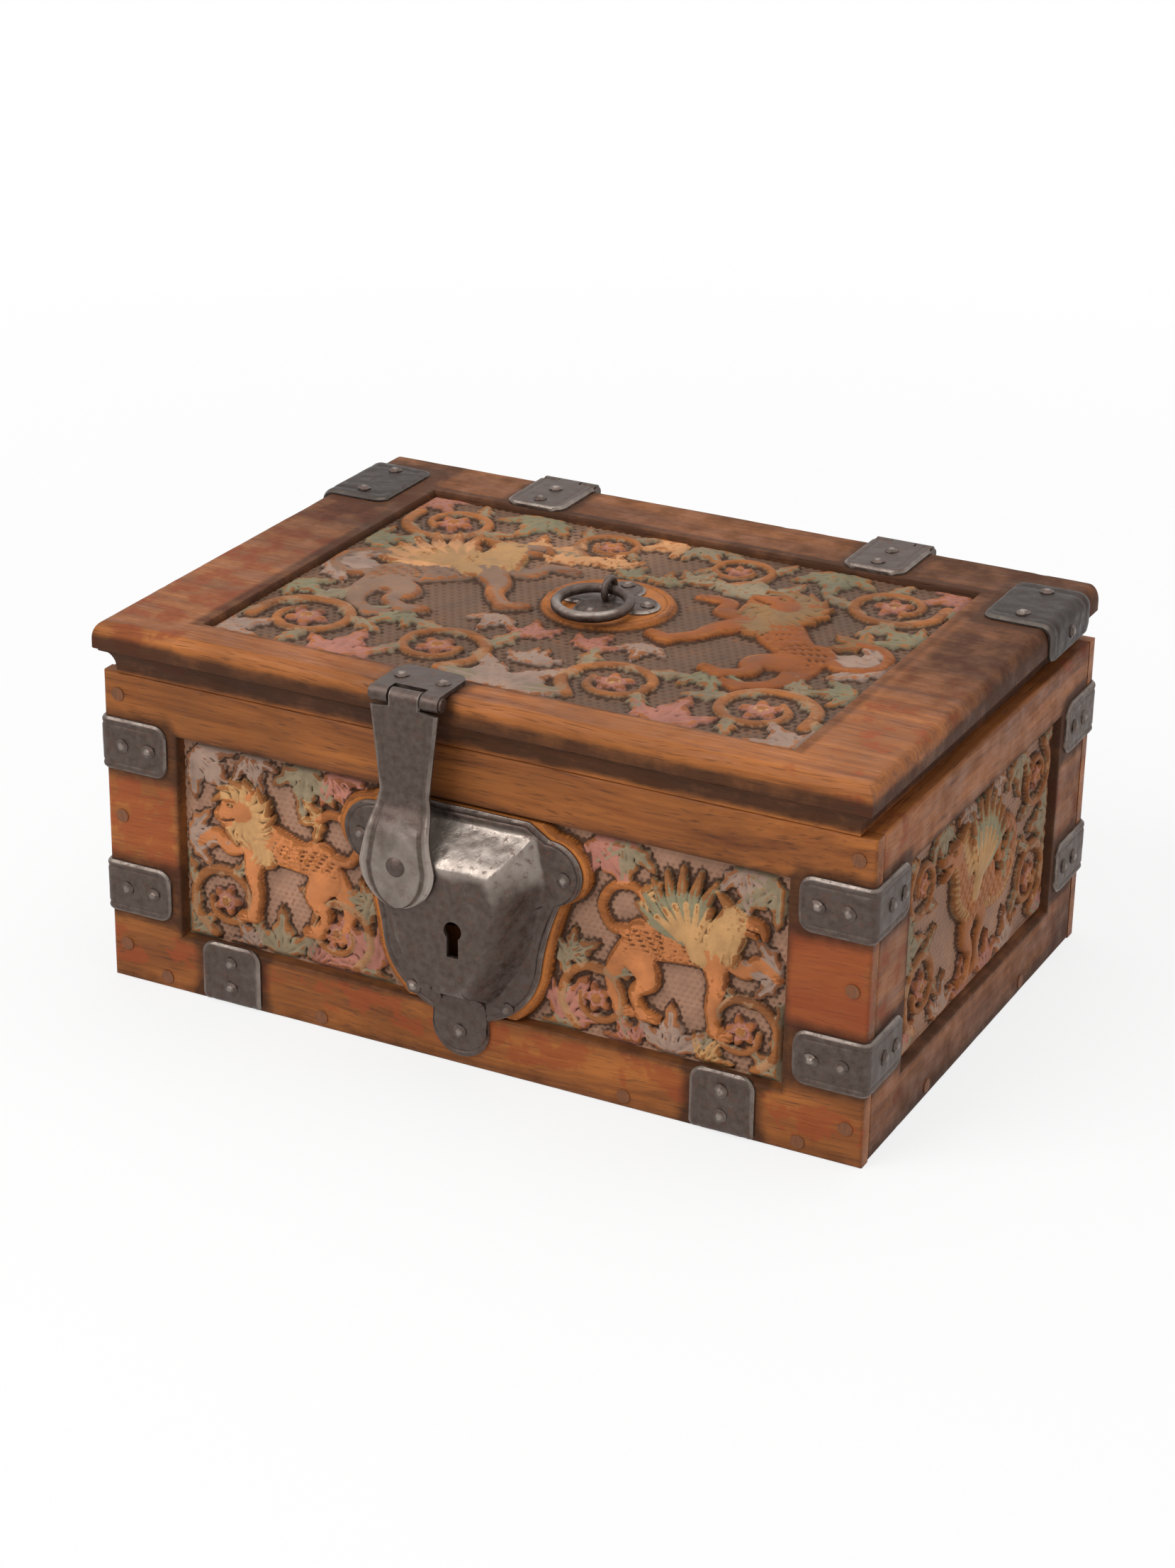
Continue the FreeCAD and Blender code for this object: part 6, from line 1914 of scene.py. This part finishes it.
# Stage: the floor in millimetres, the lamps and the camera in metres
FLOOR_REACH = 6000.0
FLOOR_DROP = 0.05
FLOOR_POINTS = 9
FLOOR_GLOW = (0.25, 1.0, 0.78, 1.0)
LAMPS = (("key_lamp", (-0.75, -1.35, 1.55), 1.3, 25.0), ("top_lamp", (0.25, 0.35, 1.9), 1.5, 15.0),
         ("side_lamp", (1.7, -0.5, 0.9), 1.1, 0.8))
WORLD_LIGHT = 0.42
TARGET_HEIGHT = 0.0703
TARGET_LEFT = 0.00659
TARGET_DOWN = 0.0017
FILM_HEIGHT = 36.0
VIEW_END = 50.0


def set_axes(thing, right, up, back, place):
    """Links an object and places it by the directions of its own axes."""
    bpy.context.scene.collection.objects.link(thing)
    for row, column in itertools.product(range(3), range(4)):
        thing.matrix_world[row][column] = (right, up, back, place)[column][row]


class CASKET_OT_stage(bpy.types.Operator):
    """Pale floor, soft studio lamps and the camera"""

    bl_idname = "casket.stage"
    bl_label = "Stage"

    def execute(self, context):
        scene = context.scene
        scene.view_settings.view_transform = "Standard"
        self.floor(scene)
        self.world(scene)
        for lamp in LAMPS:
            self.lamp(*lamp)
        self.camera(scene)
        return {"FINISHED"}

    def floor(self, scene):
        """Flat square sheet under the casket, whose far edge lies out of sight."""
        x, y = np.meshgrid(*2 * [np.linspace(-FLOOR_REACH, FLOOR_REACH, FLOOR_POINTS)], indexing="ij")
        points = np.stack([x, y, np.full_like(x, -FLOOR_DROP)], axis=-1).reshape(-1, 3)
        mesh = mesh_of("floor", (points, sheet_faces(FLOOR_POINTS, FLOOR_POINTS)))
        material, wiring, shader, place = new_finish("pale_floor")
        wiring.feed(shader, {"Base Color": colour(scene.casket_stage.floor), "Roughness": 0.9,
                             "Specular IOR Level": 0.1})
        glow = wiring.add("ShaderNodeEmission", {"Strength": 1.0})
        away = wiring.add("ShaderNodeVectorMath", {0: place}, operation="LENGTH").outputs["Value"]
        share = wiring.times(wiring.camera_sees(), wiring.remap(away, *FLOOR_GLOW))
        both = wiring.add("ShaderNodeMixShader", {0: share, 1: shader.outputs[0], 2: glow.outputs[0]})
        wiring.feed(material.node_tree.nodes["Material Output"], {"Surface": both.outputs[0]})
        mesh.materials.append(material)
        floor = bpy.data.objects.new("floor", mesh)
        scene.collection.objects.link(floor)

    def world(self, scene):
        """Even dome of light, white to the camera and in reflections."""
        scene.world = bpy.data.worlds.new("studio")
        scene.world.use_nodes = True
        scene.world.node_tree.nodes.clear()
        wiring = Wiring(scene.world.node_tree)
        soft, white = (wiring.add("ShaderNodeBackground", {"Color": (1, 1, 1, 1), "Strength": strength})
                       for strength in (WORLD_LIGHT, 1.0))
        both = wiring.add("ShaderNodeMixShader", {0: wiring.camera_sees(), 1: soft.outputs[0],
                                                  2: white.outputs[0]})
        wiring.add("ShaderNodeOutputWorld", {"Surface": both.outputs[0]})

    def lamp(self, name, place, size, power):
        """Square soft lamp that looks at the middle of the casket."""
        data = bpy.data.lights.new(name, "AREA")
        data.size = size
        data.energy = power
        away = np.array(place) - np.array([0, 0, RIM / 2 * MM])
        away /= np.linalg.norm(away)
        side = np.cross((0, 0, 1), away)
        side /= np.linalg.norm(side)
        set_axes(bpy.data.objects.new(name, data), side, np.cross(away, side), away, place)

    def camera(self, scene):
        """Camera turned by azimuth and elevation about its target, then rolled."""
        settings = scene.casket_stage
        turn, lift, roll = settings.azimuth, settings.elevation, settings.roll
        back = np.array([math.sin(turn) * math.cos(lift), -math.cos(turn) * math.cos(lift), math.sin(lift)])
        right = np.array([math.cos(turn), math.sin(turn), 0])
        up = np.cross(back, right)
        target = np.array([0, 0, TARGET_HEIGHT]) - TARGET_LEFT * right - TARGET_DOWN * up
        data = bpy.data.cameras.new("camera")
        data.sensor_fit = "VERTICAL"
        data.sensor_height = FILM_HEIGHT
        data.lens = settings.lens
        data.clip_end = VIEW_END
        scene.camera = bpy.data.objects.new("camera", data)
        set_axes(scene.camera, right * math.cos(roll) + up * math.sin(roll),
                 up * math.cos(roll) - right * math.sin(roll), back, target + settings.distance * back)


OPERATORS = (CASKET_OT_fittings, CASKET_OT_boards, CASKET_OT_box_carvings, CASKET_OT_lid,
             CASKET_OT_lid_carving, CASKET_OT_straps, CASKET_OT_lid_irons, CASKET_OT_hinge_straps,
             CASKET_OT_lock, CASKET_OT_hasp, CASKET_OT_handle, CASKET_OT_nails, CASKET_OT_stage)
SETTINGS = {"casket_oak": OakSettings, "casket_carving": CarvingSettings,
            "casket_iron": IronSettings, "casket_stage": StageSettings}


class CASKET_PT_panel(bpy.types.Panel):
    """Lists the casket's pieces and their settings"""

    bl_idname = "CASKET_PT_panel"
    bl_label = "Carved casket"
    bl_space_type = "VIEW_3D"
    bl_region_type = "UI"
    bl_category = "Casket"

    def draw(self, context):
        for operator in OPERATORS:
            self.layout.operator(operator.bl_idname)
        for name, kind in SETTINGS.items():
            box = self.layout.box()
            box.label(text=kind.__doc__)
            for key in kind.__annotations__:
                box.prop(getattr(context.scene, name), key)


def register():
    for kind in (*SETTINGS.values(), *OPERATORS, CASKET_PT_panel):
        bpy.utils.register_class(kind)
    for name, kind in SETTINGS.items():
        setattr(bpy.types.Scene, name, PointerProperty(type=kind))


def unregister():
    for name in SETTINGS:
        delattr(bpy.types.Scene, name)
    for kind in (CASKET_PT_panel, *reversed(OPERATORS), *SETTINGS.values()):
        bpy.utils.unregister_class(kind)


def main():
    register()
    for operator in OPERATORS:
        getattr(bpy.ops.casket, operator.bl_idname.split(".")[1])()


if __name__ == "__main__":
    main()
